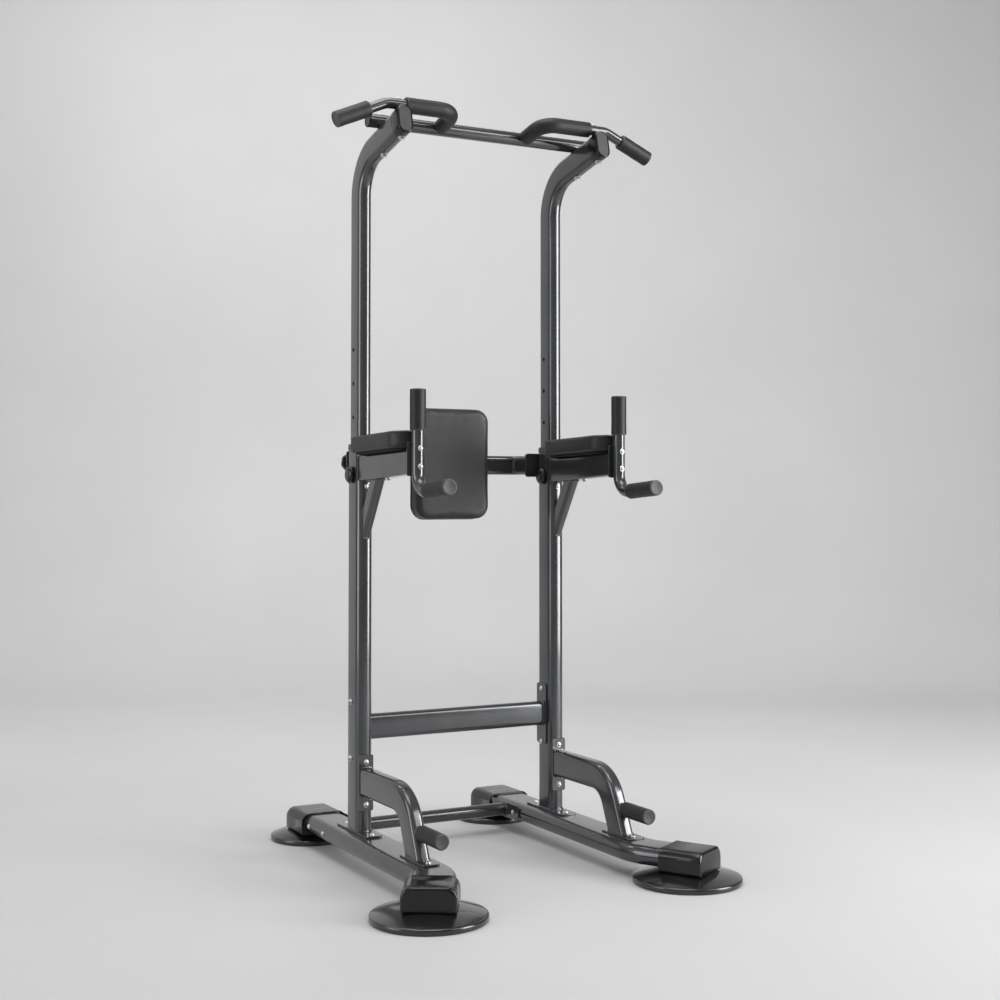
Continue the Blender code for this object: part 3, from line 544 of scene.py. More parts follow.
def build_disc(name, x, y, radius, node):
    profile = [(radius - 0.0034, 0.0), (radius - 0.0010, 0.0009), (radius, 0.0032), (radius, 0.0108)]
    profile += [(radius - 0.0008, 0.0130), (radius - 0.0028, 0.0146), (radius - 0.0058, 0.0155)]
    for k in range(1, 11):
        share = k / 10
        r = (radius - 0.0058) * (1 - share) + 0.050 * share
        profile.append((r, 0.0155 + 0.0157 * math.sin(share * math.pi / 2)))
    bm = bmesh.new()
    turned(bm, Vector((x, y, 0)), Z, profile, 112)
    piece(name, bm, "frame", ["foot_rubber_look"], [node], 40)


def build_feet(side, tag):
    splay = Vector((side * math.sin(RAIL_SPLAY), -math.cos(RAIL_SPLAY), 0))
    nose = Vector((side * RAIL_X, RAIL_CORNER_Y + Y0, 0)) + splay * RAIL_NOSE
    middle = nose - splay * 0.059
    build_boot("front_boot_" + tag, middle, side * RAIL_SPLAY, 0.118, "front_foot_boot_" + tag)
    rear = Vector((side * RAIL_X, Y0 + 0.318, 0))
    build_boot("rear_boot_" + tag, rear, math.pi, 0.130, "rear_foot_boot_" + tag)
    build_disc("front_disc_" + tag, side * 0.369, Y0 - 0.578, 0.142, "front_foot_disc_" + tag)
    build_disc("rear_disc_" + tag, side * 0.300, Y0 + 0.352, 0.118, "rear_foot_disc_" + tag)


def build_rear_crossbar():
    bm = bmesh.new()
    inner = RAIL_X - RAIL_W / 2 - 0.0003
    centre = Vector((0, Y0 + 0.172, RAIL_Z + 0.001))
    path = bent_path([centre - X * (inner - 0.002), centre + X * (inner - 0.002)], [])
    add_solid(bm, round_rings(path, 0.0185))
    for side in (-1, 1):
        spot = Vector((side * (inner - 0.002), Y0 + 0.170, RAIL_Z))
        plate(bm, spot, X, Z, 0.044, 0.165, 0.004, 0.010)
        ring = round_rings([(centre + X * side * (inner - 0.0045), X)], 0.0195)[0]
        bead(bm, ring, 0.0022, seed=side)
    painted("rear_tie_bar", bm, "rear_crossbar")


# ---------------------------------------------------------------- uprights


def build_lower_upright(side, tag):
    bm = bmesh.new()
    x = side * UP_X
    path = bent_path([Vector((x, Y0, LOW_BOTTOM - 0.001)), Vector((x, Y0, LOW_TOP))], [], run=0.05)
    add_solid(bm, flat_rings(path, X, rounded_rect(LOW_W, LOW_D, LOW_R, 10)))
    plate(bm, Vector((x, Y0, LOW_BOTTOM - 0.0025)), Z, X, 0.050, 0.204, 0.005, 0.008)
    shape = rounded_rect(0.047, 0.085, 0.0205, 8)
    foot = flat_rings([(Vector((x, Y0, LOW_BOTTOM + 0.0008)), Z)], X, shape)[0]
    bead(bm, foot, 0.0024, seed=side)
    painted("lower_tube_" + tag, bm, "lower_upright_" + tag)


def build_collar(side, tag):
    """Plastic bush round the foot of the mast tube."""
    bm = bmesh.new()
    x = side * UP_X
    rows = ((1.1183, 0.0010), (1.1192, 0.0), (1.1310, 0.0))
    rows += ((1.1335, 0.0012), (1.1348, 0.0034), (1.1350, 0.0046))
    rings = []
    for z, inset in rows:
        shape = rounded_rect(0.050 - 2 * inset, 0.088 - 2 * inset, 0.022 - inset, 10)
        rings.append(flat_rings([(Vector((x, Y0, z)), Z)], X, shape)[0])
    add_solid(bm, rings)
    piece("collar_" + tag, bm, "frame", ["black_plastic_look"], ["upright_collar_" + tag])


def mast_direction():
    return Vector((0, -math.cos(MAST_RISE), math.sin(MAST_RISE)))


def mast_up():
    return Vector((0, math.sin(MAST_RISE), math.cos(MAST_RISE)))


def build_mast_tube(side, tag):
    x = side * UP_X
    corner = Vector((x, Y0, MAST_CORNER_Z))
    path = bent_path(
        [Vector((x, Y0, 0.80)), corner, corner + mast_direction() * (MAST_REACH - 0.004)],
        [MAST_BEND_R],
        math.radians(3),
        0.05,
    )
    bm = bmesh.new()
    add_solid(bm, flat_rings(path, X, rounded_rect(MAST_W, MAST_D, MAST_R, 10)))
    # The second slot is the painted shade on the pin holes' walls
    mats = ["frame_paint_look", "bore_shade_look"]
    tube = piece("mast_tube_" + tag, bm, "mast", mats, ["upper_upright_" + tag])
    # Pin holes, whose walls take the near-black painted shade
    tool = bmesh.new()
    for z in HOLES:
        base = Vector((x - 0.030, Y0 + HOLE_Y, z))
        turned(tool, base, X, ((0.0056, 0), (0.0056, 0.0112), (0.0050, 0.0118), (0.0050, 0.026)), 32)
    cut_with(tube, tool, "bore_shade_look")


def build_end_cap(side, tag):
    corner = Vector((side * UP_X, Y0, MAST_CORNER_Z))
    along = mast_direction()
    start = MAST_REACH - CAP_LENGTH
    rows = [(start, 0.0016), (start + 0.0008, 0.0005), (start + 0.0025, 0.0)]
    rows += [(MAST_REACH - 0.0045, 0.0), (MAST_REACH - 0.0022, 0.0006), (MAST_REACH - 0.0007, 0.0020)]
    rows += [(MAST_REACH, 0.0036), (MAST_REACH - 0.0002, 0.0046), (MAST_REACH - 0.0014, 0.0054)]
    rings = []
    for distance, inset in rows:
        shape = rounded_rect(CAP_W - 2 * inset, CAP_D - 2 * inset, CAP_R - inset, 10)
        rings.append(flat_rings([(corner + along * distance, along)], X, shape)[0])
    bm = bmesh.new()
    add_solid(bm, rings, 0, 1)
    mats = ["black_plastic_look", "cap_face_look"]
    piece("end_cap_" + tag, bm, "mast", mats, ["mast_end_cap_" + tag])


# ---------------------------------------------------------------- top of the mast


def build_pull_up_bar():
    bm = bmesh.new()
    path = bent_path([Vector((-BAR_HALF, Y0 + BAR_Y, BAR_Z)), Vector((BAR_HALF, Y0 + BAR_Y, BAR_Z))], [])
    add_solid(bm, round_rings(path, BAR_R, 40))
    painted("high_bar", bm, "pull_up_bar", "mast")


def build_bar_cap(side, tag):
    base = Vector((side * BAR_HALF, Y0 + BAR_Y, BAR_Z))
    profile = [(0.0166, -0.0120), (0.0166, 0.0003), (0.0187, 0.0004), (0.0190, 0.0008), (0.0190, 0.0021)]
    profile += [(0.0184, 0.0030), (0.0172, 0.0035), (0.0150, 0.0035), (0.0142, 0.0030), (0.0100, 0.0029)]
    bm = bmesh.new()
    turned(bm, base, X * side, profile, 48)
    piece("bar_cap_" + tag, bm, "mast", ["black_plastic_look"], ["pull_up_bar_cap_" + tag])


def handle_points(side):
    return [
        Vector((side * 0.4765, Y0 + HANDLE_Y, 1.9500)),
        Vector((side * 0.335, Y0 + HANDLE_Y, HANDLE_Z)),
        Vector((side * 0.134, Y0 + HANDLE_Y, HANDLE_Z)),
        Vector((side * 0.132, Y0 - 0.1525, 1.9910)),
    ]


def build_top_handle(side, tag):
    points = handle_points(side)
    inward = (points[1] - points[0]).normalized()
    points[0] = points[0] + inward * 0.0044
    back = (points[3] - points[2]).normalized()
    points[3] = points[3] + back * 0.0015
    bm = bmesh.new()
    add_solid(bm, round_rings(bent_path(points, [0.05, 0.045]), HANDLE_R, 32))
    ring = round_rings([(points[3] - back * 0.001, back)], 0.0152, 24)[0]
    bead(bm, [p - Y * max(0.0, 0.0186 - math.hypot(p.y - Y0 - BAR_Y, p.z - BAR_Z)) for p in ring], 0.0024)
    painted("handle_" + tag, bm, "top_handle_" + tag, "mast")


def sleeve(name, path, radius, node, body):
    """Foam sleeve with soft ends and a faint swell where it was pushed on; its cut ends are paler."""
    points, radii = eased(path, radius, 0.0028)
    shaped = []
    for r, (p, _) in zip(radii, points):
        shaped.append(r + 0.00035 * noise.noise(p * 38.0))
    rings = round_rings(points, shaped, 40)
    bm = bmesh.new()
    add_solid(bm, rings[4:-4])
    for end, step in ((rings[:5], -1), (rings[-5:], 1)):
        point, away = points[0] if step < 0 else points[-1]
        edge = radii[0] if step < 0 else radii[-1]
        dish = []
        for depth, inset in ((0.0, 0.0020), (0.0008, 0.0040)):
            dish.append(round_rings([(point - away * step * depth, away)], edge - inset, 40)[0])
        rows = (end[::-1] if step < 0 else end) + dish
        made = [[bm.verts.new(p) for p in ring] for ring in rows]
        for first, second in zip(made, made[1:]):
            for i in range(40):
                j = (i + 1) % 40
                bm.faces.new((first[i], first[j], second[j], second[i])).material_index = 1
        bm.faces.new(made[-1]).material_index = 1
    open_faces = [f for f in bm.faces if len(f.verts) == 40 and f.material_index == 0]
    bmesh.ops.delete(bm, geom=open_faces, context="FACES_ONLY")
    bmesh.ops.remove_doubles(bm, verts=bm.verts[:], dist=0.00001)
    bmesh.ops.recalc_face_normals(bm, faces=bm.faces[:])
    mats = ["grip_foam_look", "foam_end_look"]
    piece(name, bm, body, mats, [node], 55)


def build_top_grips(side, tag):
    points = handle_points(side)
    out = (points[0] - points[1]).normalized()
    start = points[1] + out * ((0.384 - 0.335) / abs(out.x))
    path = bent_path([start, points[0]], [], run=0.006)
    sleeve("outer_foam_" + tag, path, FOAM_R, "outer_grip_" + tag, "mast")
    back = (points[3] - points[2]).normalized()
    begin = Vector((side * 0.281, Y0 + HANDLE_Y, HANDLE_Z))
    path = bent_path([begin, points[2], points[3] - back * 0.0012], [0.045], run=0.006)
    sleeve("inner_foam_" + tag, path, FOAM_R, "inner_grip_" + tag, "mast")


# ---------------------------------------------------------------- arms


def arm_line(y, top):
    share = (ARM_REAR[0] - y) / (ARM_REAR[0] - ARM_FRONT[0])
    z = ARM_REAR[1] + share * (ARM_FRONT[1] - ARM_REAR[1])
    half = (ARM_REAR[2] + share * (ARM_FRONT[2] - ARM_REAR[2])) / 2
    return z + half if top else z - half


def cope(u):
    """The upright's front surface, u to the side of its middle."""
    past = max(0.0, abs(u) - (LOW_W / 2 - LOW_R))
    return LOW_R - LOW_D / 2 - math.sqrt(LOW_R**2 - past**2) - 0.0003


def split_sides(points, parts=8):
    """The same rounded rectangle with its straight sides split into equal parts."""
    row = len(points) // 4
    made = []
    for corner in range(4):
        group = points[corner * row:(corner + 1) * row]
        (u, v), (s, t) = group[-1], points[(corner + 1) * row % len(points)]
        made += group + [(u + (s - u) * k / parts, v + (t - v) * k / parts) for k in range(1, parts)]
    return made


def build_arm(side, tag):
    x = side * UP_X
    bm = bmesh.new()
    rings = []
    for k in range(13):
        share = k / 12
        y = ARM_REAR[0] + (ARM_FRONT[0] - ARM_REAR[0]) * share
        high, low = arm_line(y, True), arm_line(y, False)
        shape = split_sides(rounded_rect(ARM_W, high - low, 0.006))
        middle = (high + low) / 2
        rings.append([Vector((x + u, Y0 + (y if k else cope(u)), middle + v)) for u, v in shape])
    add_solid(bm, rings)
    plate(bm, Vector((x, Y0 + ARM_FRONT[0] - 0.002, 1.0855)), Y, X, 0.044, 0.087, 0.004, 0.005)
    shape = split_sides(rounded_rect(ARM_W + 0.001, 0.070, 0.0065, 4))
    bead(bm, [Vector((x + u, Y0 + cope(u) - 0.0006, ARM_REAR[1] + v)) for u, v in shape], 0.0024, seed=side)
    painted("arm_tube_" + tag, bm, "arm_" + tag)


def build_strut(side, tag):
    x = side * UP_X
    top = Vector((x, Y0 - 0.117, 1.036))
    foot = Vector((x, Y0 - 0.042, 0.919))
    along = (foot - top).normalized()
    rise = arm_line(ARM_FRONT[0], False) - arm_line(ARM_REAR[0], False)
    normal = Vector((0, rise, ARM_REAR[0] - ARM_FRONT[0])).normalized()
    point = Vector((x, Y0 + ARM_REAR[0], arm_line(ARM_REAR[0], False) - 0.0003))
    ring = flat_rings([(top, along)], X, split_sides(rounded_rect(0.025, 0.045, 0.008), 4))[0]
    upper = project(ring, along, point, normal)
    lower = project(ring, along, Vector((x, Y0 + ARM_REAR[0], 0)), Y)
    lower = [p + along * ((cope(p.x - x) - ARM_REAR[0]) / along.y) for p in lower]
    rings = [[a.lerp(b, k / 6) for a, b in zip(upper, lower)] for k in range(7)]
    bm = bmesh.new()
    add_solid(bm, rings)
    bead(bm, [a.lerp(b, 0.006) for a, b in zip(upper, lower)][::2], 0.0022, seed=1 + side)
    bead(bm, [a.lerp(b, 0.994) for a, b in zip(upper, lower)][::2], 0.0022, seed=3 + side)
    painted("strut_" + tag, bm, "arm_strut_" + tag)


def build_dip(side, tag):
    x = side * UP_X
    rise = math.tan(math.radians(4))
    corner = Vector((x, Y0 + DIP_Y, 1.001))
    top = Vector((x, Y0 + DIP_Y, 1.262))
    reach = DIP_Y + 0.547
    end = corner + Vector((0, -reach, reach * rise))
    forward = (end - corner).normalized()
    bm = bmesh.new()
    path = bent_path([top - Z * 0.0044, corner, end - forward * 0.0044], [0.048])
    add_solid(bm, round_rings(path, DIP_R, 36))
    painted("dip_post_" + tag, bm, "dip_handle_" + tag)
    path = bent_path([Vector((x, Y0 + DIP_Y, 1.157)), top], [], run=0.006)
    sleeve("dip_foam_" + tag, path, DIP_GRIP_R, "dip_grip_" + tag, "frame")
    path = bent_path([corner + forward * 0.0575, end], [], run=0.006)
    sleeve("side_foam_" + tag, path, DIP_GRIP_R, "side_grip_" + tag, "frame")


# ---------------------------------------------------------------- pads


def puff(bm, voxel, draw):
    """Blows a closed form up as cloth over foam, held along its flat underside.

    draw is the share of the sideways pull that is kept.
    """
    bmesh.ops.recalc_face_normals(bm, faces=bm.faces[:])
    mesh = bpy.data.meshes.new("puff")
    bm.to_mesh(mesh)
    bm.free()
    obj = add_object("puff", mesh)
    remesh = obj.modifiers.new("remesh", "REMESH")
    remesh.mode = "VOXEL"
    remesh.voxel_size = voxel
    dense = baked(obj)
    obj.modifiers.clear()
    obj.data = dense
    start = [v.co.copy() for v in dense.vertices]
    group = obj.vertex_groups.new(name="held")
    for v in dense.vertices:
        group.add([v.index], 1.0 if v.co.z < PUFF_HELD_BELOW else 0.0, "REPLACE")
    cloth = obj.modifiers.new("cloth", "CLOTH")
    cloth.settings.use_pressure = True
    cloth.settings.uniform_pressure_force = PUFF_PRESSURE
    cloth.settings.effector_weights.gravity = 0.0
    cloth.settings.tension_stiffness = 22
    cloth.settings.compression_stiffness = 22
    cloth.settings.bending_stiffness = 1.2
    cloth.settings.mass = 0.4
    cloth.collision_settings.use_collision = False
    cloth.settings.vertex_group_mass = "held"
    cloth.point_cache.frame_start = 1
    cloth.point_cache.frame_end = PUFF_FRAMES
    for k in range(1, PUFF_FRAMES + 1):
        bpy.context.scene.frame_set(k)
    graph = bpy.context.evaluated_depsgraph_get()
    grown = bpy.data.meshes.new_from_object(obj.evaluated_get(graph))
    moved = []
    for before, v in zip(start, grown.vertices):
        step = v.co - before
        step = Vector((step.x * draw, step.y * draw, step.z))
        if step.length > PUFF_CAP:
            step = step * (PUFF_CAP / step.length)
        moved.append(before + step)
    for v, co in zip(dense.vertices, moved):
        v.co = co
    obj.modifiers.clear()
    bpy.context.scene.frame_set(1)
    smooth = obj.modifiers.new("smooth", "SMOOTH")
    smooth.iterations = 4
    smooth.factor = 0.5
    divide = obj.modifiers.new("divide", "SUBSURF")
    divide.levels = 1
    divide.render_levels = 1
    result = baked(obj)
    bpy.data.objects.remove(obj)
    return result


def cushion_form(width, length, thick, front, back, soft, low_soft, shrink):
    """Closed pad form lying on z=0: flat under, rounded above, drawn in a little."""
    rows = [(low_soft * (1 - math.cos(t)), low_soft * (1 - math.sin(t))) for t in (0, 0.5, 1.0, math.pi / 2)]
    for k in range(7):
        t = math.pi / 2 * k / 6
        rows.append((thick - soft + soft * math.sin(t), soft * (1 - math.cos(t))))
    bm = bmesh.new()
    rings = []
    for z, inset in rows:
        shape = plan(width, length, front, back, inset + shrink, 10)
        rings.append([Vector((x, y, z)) for x, y in shape])
    add_solid(bm, rings)
    return bm


def place_mesh(name, mesh, matrix, body, mats, nodes):
    mesh.transform(matrix)
    mesh.materials.clear()
    for mat in mats:
        mesh.materials.append(MATS[mat])
    mesh.shade_smooth()
    obj = bpy.data.objects.new(name, mesh)
    mesh.name = name
    bpy.context.scene.collection.objects.link(obj)
    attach(obj, body)
    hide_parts(*nodes)
    return obj


def build_arm_pad(side, tag):
    slope = math.atan2(
        arm_line(ARM_FRONT[0], True) - arm_line(ARM_REAR[0], True), ARM_REAR[0] - ARM_FRONT[0]
    )
    lift = 0.0055 + 0.0006
    bm = cushion_form(PAD_W, PAD_L, 0.0430, 0.050, 0.014, 0.0055, 0.003, 0.0008)
    mesh = puff(bm, 0.0040, 0.15)
    for v in mesh.vertices:
        v.co.z = max(v.co.z, 0.0)
        v.co.x = max(-0.0540, min(0.0540, v.co.x))
    place = Matrix.Translation(Vector((side * UP_X, Y0 + PAD_MID_Y, arm_line(PAD_MID_Y, True))))
    matrix = place @ Matrix.Rotation(-slope, 4, "X") @ Matrix.Translation(Vector((0, 0, lift)))
    name = "arm_cushion_" + tag
    place_mesh(name, mesh, matrix, "frame", ["pad_vinyl_look"], ["arm_pad_" + tag])
    bm = bmesh.new()
    for height, radius in ((0.0046, 0.0010), (0.0398, 0.0007)):
        inset = 0.0 if height < 0.02 else 0.0006
        loop = [matrix @ Vector((x, y, height)) for x, y in plan(PAD_W, PAD_L, 0.050, 0.014, inset, 10)]
        bead(bm, loop, radius, seed=side)
    piece("arm_welt_" + tag, bm, "frame", ["pad_vinyl_look"], (), 60)
    bm = bmesh.new()
    rings = []
    for z, inset in ((0.0, 0.0008), (0.0008, 0.0), (0.0047, 0.0), (0.0055, 0.0008)):
        shape = plan(0.080, 0.262, 0.034, 0.008, inset, 8)
        tilt = Matrix.Rotation(-slope, 4, "X")
        rings.append([place @ (tilt @ Vector((x, y, z + 0.0003))) for x, y in shape])
    add_solid(bm, rings)
    piece("arm_board_" + tag, bm, "frame", ["pad_board_look"], ["arm_pad_board_" + tag])


def build_back_pad():
    bm = cushion_form(BACK_W, BACK_H, BACK_T - 0.0015, 0.040, 0.040, 0.0085, 0.005, 0.0012)
    mesh = puff(bm, 0.0045, 0.05)
    for v in mesh.vertices:
        v.co.z = max(v.co.z, 0.0)
    place = Matrix.Translation(Vector((0, Y0 + BACK_FRONT_Y + BACK_T, BACK_Z)))
    matrix = place @ Matrix.Rotation(math.pi / 2, 4, "X")
    place_mesh("back_cushion", mesh, matrix, "frame", ["pad_vinyl_look"], ["back_pad"])
    bm = bmesh.new()
    loop = [matrix @ Vector((x, y, 0.0068)) for x, y in plan(BACK_W, BACK_H, 0.040, 0.040, 0.0004, 10)]
    bead(bm, loop, 0.0013)
    piece("back_welt", bm, "frame", ["pad_vinyl_look"], (), 60)
    bm = bmesh.new()
    place = Matrix.Translation(Vector((0, Y0 + BACK_FRONT_Y + BACK_T + 0.0123, BACK_Z)))
    matrix = place @ Matrix.Rotation(math.pi / 2, 4, "X")
    rings = []
    for z, inset in ((0.0, 0.0012), (0.0012, 0.0), (0.0108, 0.0), (0.012, 0.0012)):
        rings.append([matrix @ Vector((x, y, z)) for x, y in plan(0.215, 0.300, 0.036, 0.036, inset, 8)])
    add_solid(bm, rings)
    piece("back_board", bm, "frame", ["pad_board_look"], ["back_pad_board"])


def build_rest_bar():
    rear = LOW_D / 2 + 0.0003
    z = 1.0825
    y = BACK_FRONT_Y + BACK_T + 0.012 + 0.0009 + 0.015
    turn = math.radians(75)
    leg = (y - rear) / math.sin(turn)
    right = Vector((0.241, Y0 + y, z))
    end = right + Vector((math.cos(turn), -math.sin(turn), 0)) * leg
    points = [end, right, Vector((-0.241, Y0 + y, z)), Vector((-end.x, end.y, z))]
    path = bent_path(points, [0.026, 0.026], math.radians(5))
    rings = flat_rings(path, Z, rounded_rect(0.055, 0.030, 0.010))
    plane = Vector((0, Y0 + rear + 0.002, z))
    rings[0] = project(rings[0], path[0][1], plane, Y)
    rings[-1] = project(rings[-1], path[-1][1], plane, Y)
    bm = bmesh.new()
    add_solid(bm, rings)
    for side in (-1, 1):
        centre = Vector((side * 0.2815, Y0 + rear + 0.002, z))
        plate(bm, centre, Y, X, 0.083, 0.068, 0.004, 0.008)
    painted("rest_bar", bm, "back_rest_bar")


# ---------------------------------------------------------------- knobs and pins


def build_knobs(side, tag):
    base = Vector((side * UP_X, Y0 + LOW_D / 2 + 0.0046, KNOB_Z))
    profile = [(0.0110, 0.0003), (0.0118, 0.0012), (0.0118, 0.0112), (0.0130, 0.0125), (0.0235, 0.0134)]
    profile += [(0.0258, 0.0148), (0.0267, 0.0170), (0.0267, 0.0258), (0.0256, 0.0282), (0.0230, 0.0298)]
    profile += [(0.0130, 0.0308), (0.0110, 0.0306), (0.0100, 0.0296)]

    def lobes(angle, radius):
        grow = max(0.0, (radius - 0.013) / 0.014)
        return radius * (1 + 0.030 * grow * math.cos(7 * angle))

    bm = bmesh.new()
    turned(bm, base, Y, profile, 112, 0, lobes)
    turned(bm, base, Y, ((0.0042, -0.006), (0.0042, 0.002)), 20, 1)
    mats = ["black_plastic_look", "zinc_steel_look"]
    piece("clamp_knob_" + tag, bm, "knob_" + tag, mats, ["back_knob_" + tag], 30)
    base = Vector((side * UP_X - LOW_W / 2, Y0 + HOLE_Y, PIN_Z))
    profile = [(0.0120, 0.0032), (0.0212, 0.0033), (0.0228, 0.0040), (0.0235, 0.0054), (0.0234, 0.0074)]
    profile += [(0.0224, 0.0090), (0.0205, 0.0109), (0.0178, 0.0129), (0.0162, 0.0139), (0.0142, 0.0145)]
    profile += [(0.0100, 0.0147), (0.0050, 0.0147)]

    def ribs(angle, radius):
        grow = max(0.0, (radius - 0.0185) / 0.0045)
        return radius - 0.0006 * min(1.0, grow) * (0.5 + 0.5 * math.cos(24 * angle))

    bm = bmesh.new()
    turned(bm, base, -X, profile, 144, 0, ribs)
    turned(bm, base, -X, ((0.0038, -0.0035), (0.0050, -0.0020), (0.0050, 0.0036)), 28, 1)
    piece("pin_knob_" + tag, bm, "pin_" + tag, mats, ["pull_pin_" + tag], 30)
    bm = bmesh.new()
    rows = [(0.0114, 0.0003), (0.0120, 0.0008), (0.0120, 0.0021)]
    rows += [(0.0114, 0.0027), (0.0098, 0.0028), (0.0060, 0.0028)]
    turned(bm, base, -X, rows, 40)
    name = "pin_housing_" + tag
    piece(name, bm, "frame", ["zinc_steel_look"], ["pin_barrel_" + tag])


# ---------------------------------------------------------------- lower crossbar and braces


def build_lower_crossbar():
    face = UP_X - LOW_W / 2 - 0.0003
    y = Y0 + 0.008
    bm = bmesh.new()
    path = bent_path([Vector((-face + 0.002, y, 0.365)), Vector((face - 0.002, y, 0.365))], [])
    add_solid(bm, flat_rings(path, Z, rounded_rect(0.069, 0.032, 0.014, 8)))
    for side in (-1, 1):
        plate(bm, Vector((side * (face - 0.002), y, 0.3645)), X, Z, 0.173, 0.052, 0.004, 0.008)
        spot = Vector((side * (face - 0.0045), y, 0.365))
        ring = flat_rings([(spot, X)], Z, rounded_rect(0.070, 0.033, 0.0145, 4))[0]
        bead(bm, ring, 0.0021, seed=side)
    painted("low_crossbar", bm, "lower_crossbar")


def build_brace(side, tag):
    x = side * UP_X
    front = Y0 - LOW_D / 2 - 0.0003
    ground = RAIL_Z + RAIL_H / 2 + 0.0003
    lean = Vector((0, -math.sin(BRACE_LEAN), -math.cos(BRACE_LEAN)))
    corner = Vector((x, Y0 + BRACE_CORNER_Y, BRACE_Z))
    foot = corner + lean * ((BRACE_Z - ground) / math.cos(BRACE_LEAN))
    path = bent_path([Vector((x, front - 0.002, BRACE_Z)), corner, foot], [0.093], math.radians(3))
    rings = flat_rings(path, X, rounded_rect(0.039, 0.075, 0.013, 8))
    rings[-1] = project(rings[-1], lean, Vector((0, 0, ground + 0.002)), Z)
    bm = bmesh.new()
    add_solid(bm, rings)
    plate(bm, Vector((x, front - 0.002, 0.223)), Y, X, 0.042, 0.150, 0.004, 0.006)
    plate(bm, Vector((x, Y0 - 0.380, ground + 0.002)), Z, X, 0.050, 0.140, 0.004, 0.008)
    spot = Vector((x, front - 0.0047, BRACE_Z))
    ring = flat_rings([(spot, Y)], X, rounded_rect(0.040, 0.076, 0.0135, 5))[0]
    bead(bm, ring, 0.0022, seed=side)
    ring = project(rings[-1], lean, Vector((0, 0, ground + 0.0046)), Z)
    bead(bm, ring[::2], 0.0024, seed=side + 5)
    start = Vector((x, Y0 - 0.366, PUSH_Z))
    add_solid(bm, round_rings([(start, -Y), (Vector((x, Y0 - 0.5036, PUSH_Z)), -Y)], HANDLE_R, 32))
    painted("push_brace_" + tag, bm, "push_up_brace_" + tag)
    path = bent_path([Vector((x, Y0 - 0.393, PUSH_Z)), Vector((x, Y0 - 0.508, PUSH_Z))], [], run=0.006)
    sleeve("push_foam_" + tag, path, 0.020, "push_up_grip_" + tag, "frame")


# ---------------------------------------------------------------- bolts


def dome_bolt(bm, base, axis, radius=0.0062, height=0.0042):
    """Round-headed bolt on a thin washer."""
    rim = radius * 1.22
    turned(bm, base, axis, ((rim - 0.0002, 0), (rim, 0.0003), (rim, 0.0009), (rim - 0.0003, 0.0012)), 28)
    steps = [(radius * math.cos(a), 0.0012 + height * math.sin(a)) for a in (0, 0.35, 0.7, 1.0, 1.25, 1.42)]
    turned(bm, base, axis, [(radius, 0.0010)] + steps + [(0.0024, 0.0010 + height * 0.93)], 28)


def build_bolts():
    bm = bmesh.new()
    for side in (-1, 1):
        x = side * UP_X
        for z in (0.435, 0.283):
            y = Y0 + 0.008
            bolt(bm, Vector((side * (UP_X + LOW_W / 2), y, z)), X * side, 0.0062)
            dome_bolt(bm, Vector((side * (UP_X - LOW_W / 2 - 0.0043), y, z)), -X * side)
        for z in (0.279, 0.166):
            dome_bolt(bm, Vector((x, Y0 - LOW_D / 2 - 0.0043, z)), -Y)
        for y in (-0.4305, -0.322):
            dome_bolt(bm, Vector((x, Y0 + y, 0.0913)), Z)
        for y in (-0.085, 0.085):
            dome_bolt(bm, Vector((x, Y0 + y, LOW_BOTTOM)), Z)
        for y in (0.118, 0.222):
            dome_bolt(bm, Vector((side * 0.2392, Y0 + y, RAIL_Z)), -X * side, 0.0055)
            dome_bolt(bm, Vector((side * 0.3585, Y0 + y, RAIL_Z)), X * side, 0.0060)
        for z in (1.112, 1.066):
            dome_bolt(bm, Vector((x, Y0 + DIP_Y - DIP_R + 0.0008, z)), -Y, 0.0058)
        dome_bolt(bm, Vector((x, Y0 - LOW_D / 2, 1.0185)), -Y, 0.0048, 0.0034)
        bolt(bm, Vector((x, Y0 - 0.187, arm_line(-0.187, False))), -Z, 0.0055, dome=False)
    piece("frame_bolts", bm, "frame", ["zinc_steel_look"], (), 28)
    bm = bmesh.new()
    up = mast_up()
    for side in (-1, 1):
        centre = Vector((side * UP_X, Y0 + BAR_Y, BAR_Z))
        dome_bolt(bm, centre + up * (BAR_R - 0.0006), up, 0.0062)
        bolt(bm, centre - up * (BAR_R + 0.0003 + MAST_D), -up, 0.0066)
        centre = Vector((side * UP_X, Y0 + HANDLE_Y, HANDLE_Z))
        dome_bolt(bm, centre + up * (HANDLE_R - 0.0006), up, 0.0062)
        corner = Vector((side * UP_X, Y0, MAST_CORNER_Z))
        gap = (centre - corner).dot(up) + MAST_D / 2
        bolt(bm, centre - up * gap, -up, 0.0066)
    piece("mast_bolts", bm, "mast", ["zinc_steel_look"], (), 28)


# ---------------------------------------------------------------- stage, light and camera


def build_stage():
    n = Nodes("studio_floor")
    n.to("Base Color", n.ramp(n.noise(1.2, 4.0), ((0.3, (0.50, 0.50, 0.50)), (0.8, (0.53, 0.53, 0.528)))))
    n.set(Roughness=0.55, Specular_IOR_Level=0.25)
    bm = bmesh.new()
    profile = [(-9.0, 0.0), (3.2, 0.0)]
    for k in range(1, 13):
        t = math.pi / 2 * k / 12
        profile.append((3.2 + 1.8 * math.sin(t), 1.8 - 1.8 * math.cos(t)))
    profile.append((5.0, 7.0))
    rows = [[bm.verts.new((x, y, z - 0.0002)) for y, z in profile] for x in (-3.9, 3.9)]
    for k in range(len(profile) - 1):
        bm.faces.new((rows[0][k], rows[1][k], rows[1][k + 1], rows[0][k + 1]))
    mesh = bpy.data.meshes.new("studio_sweep")
    bm.to_mesh(mesh)
    bm.free()
    mesh.materials.append(MATS["studio_floor"])
    mesh.shade_smooth()
    obj = add_object("studio_sweep", mesh)
    obj.rotation_euler = (0, 0, math.radians(-28.4))


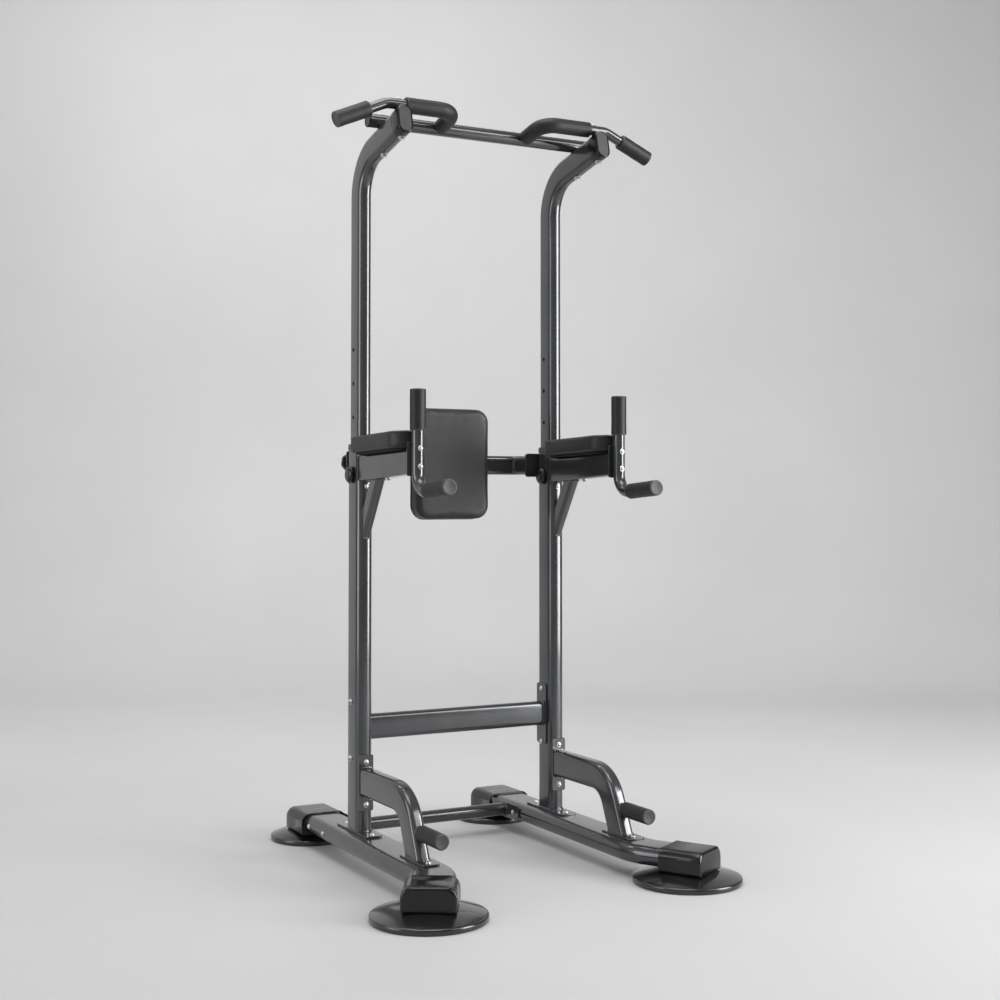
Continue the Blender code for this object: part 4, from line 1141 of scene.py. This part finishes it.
def build_light():
    world = bpy.data.worlds.new("studio")
    bpy.context.scene.world = world
    world.use_nodes = True
    tree = world.node_tree
    back = tree.nodes["Background"]
    coord = tree.nodes.new("ShaderNodeTexCoord")

    def by_direction(direction, *limits):
        """Strength that changes with how near a direction is to the given one."""
        dot = tree.nodes.new("ShaderNodeVectorMath")
        dot.operation = "DOT_PRODUCT"
        dot.inputs[1].default_value = Vector(direction).normalized()
        tree.links.new(coord.outputs["Generated"], dot.inputs[0])
        ramp = tree.nodes.new("ShaderNodeMapRange")
        for name, value in zip(("From Min", "From Max", "To Min", "To Max"), limits):
            ramp.inputs[name].default_value = value
        tree.links.new(dot.outputs["Value"], ramp.inputs["Value"])
        return ramp.outputs["Result"]

    product = tree.nodes.new("ShaderNodeMath")
    product.operation = "MULTIPLY"
    tree.links.new(by_direction((-0.72, 0.55, 0.42), -0.75, 0.80, 0.07, 0.62), product.inputs[0])
    tree.links.new(by_direction((-0.77, 0.64, 0.0), 0.950, 0.985, 1.0, 0.25), product.inputs[1])
    tree.links.new(product.outputs["Value"], back.inputs["Strength"])
    back.inputs["Color"].default_value = (1.0, 1.0, 1.0, 1.0)
    for name, place, aim, size, power in (
        ("right_softbox", (3.25, -3.15, 1.75), (0.0, 0.1, 1.75), (2.0, 3.3), 255),
        ("left_softbox", (-4.6, 0.15, 1.75), (0.0, 0.1, 1.75), (2.0, 3.3), 66),
        ("front_softbox", (2.3, -3.65, 3.7), (0.0, 0.1, 1.0), (2.2, 1.5), 50),
        ("top_softbox", (-0.4, -0.4, 4.6), (0, 0.2, 0.6), (2.6, 2.6), 80),
        ("wall_wash", (-0.6, 2.2, 4.4), (1.2, 4.8, 1.6), (3.5, 1.2), 90),
    ):
        data = bpy.data.lights.new(name, "AREA")
        data.shape = "RECTANGLE"
        data.size, data.size_y = size
        data.energy = power
        lamp = add_object(name, data)
        lamp.location = place
        lamp.rotation_euler = (Vector(aim) - Vector(place)).to_track_quat("-Z", "Y").to_euler()


def build_camera():
    data = bpy.data.cameras.new("camera")
    data.sensor_width = 36.0
    data.lens = 54.22
    data.shift_y = -0.0511
    data.clip_end = 60.0
    camera = add_object("camera", data)
    camera.location = (-1.9169, -3.7932 + Y0, 0.9906)
    camera.rotation_euler = (math.radians(90 + 1.8157), 0, math.radians(-28.384))
    bpy.context.scene.camera = camera
    bpy.context.scene.view_settings.view_transform = "Standard"


build_camera()
for side, tag in SIDES:
    build_rail(side, tag)
    build_feet(side, tag)
    build_lower_upright(side, tag)
    build_collar(side, tag)
    build_mast_tube(side, tag)
    build_end_cap(side, tag)
    build_bar_cap(side, tag)
    build_top_handle(side, tag)
    build_top_grips(side, tag)
    build_arm(side, tag)
    build_strut(side, tag)
    build_dip(side, tag)
    build_arm_pad(side, tag)
    build_knobs(side, tag)
    build_brace(side, tag)
build_rear_crossbar()
build_pull_up_bar()
build_back_pad()
build_rest_bar()
build_lower_crossbar()
build_bolts()
build_stage()
build_light()

bpy.context.view_layer.update()
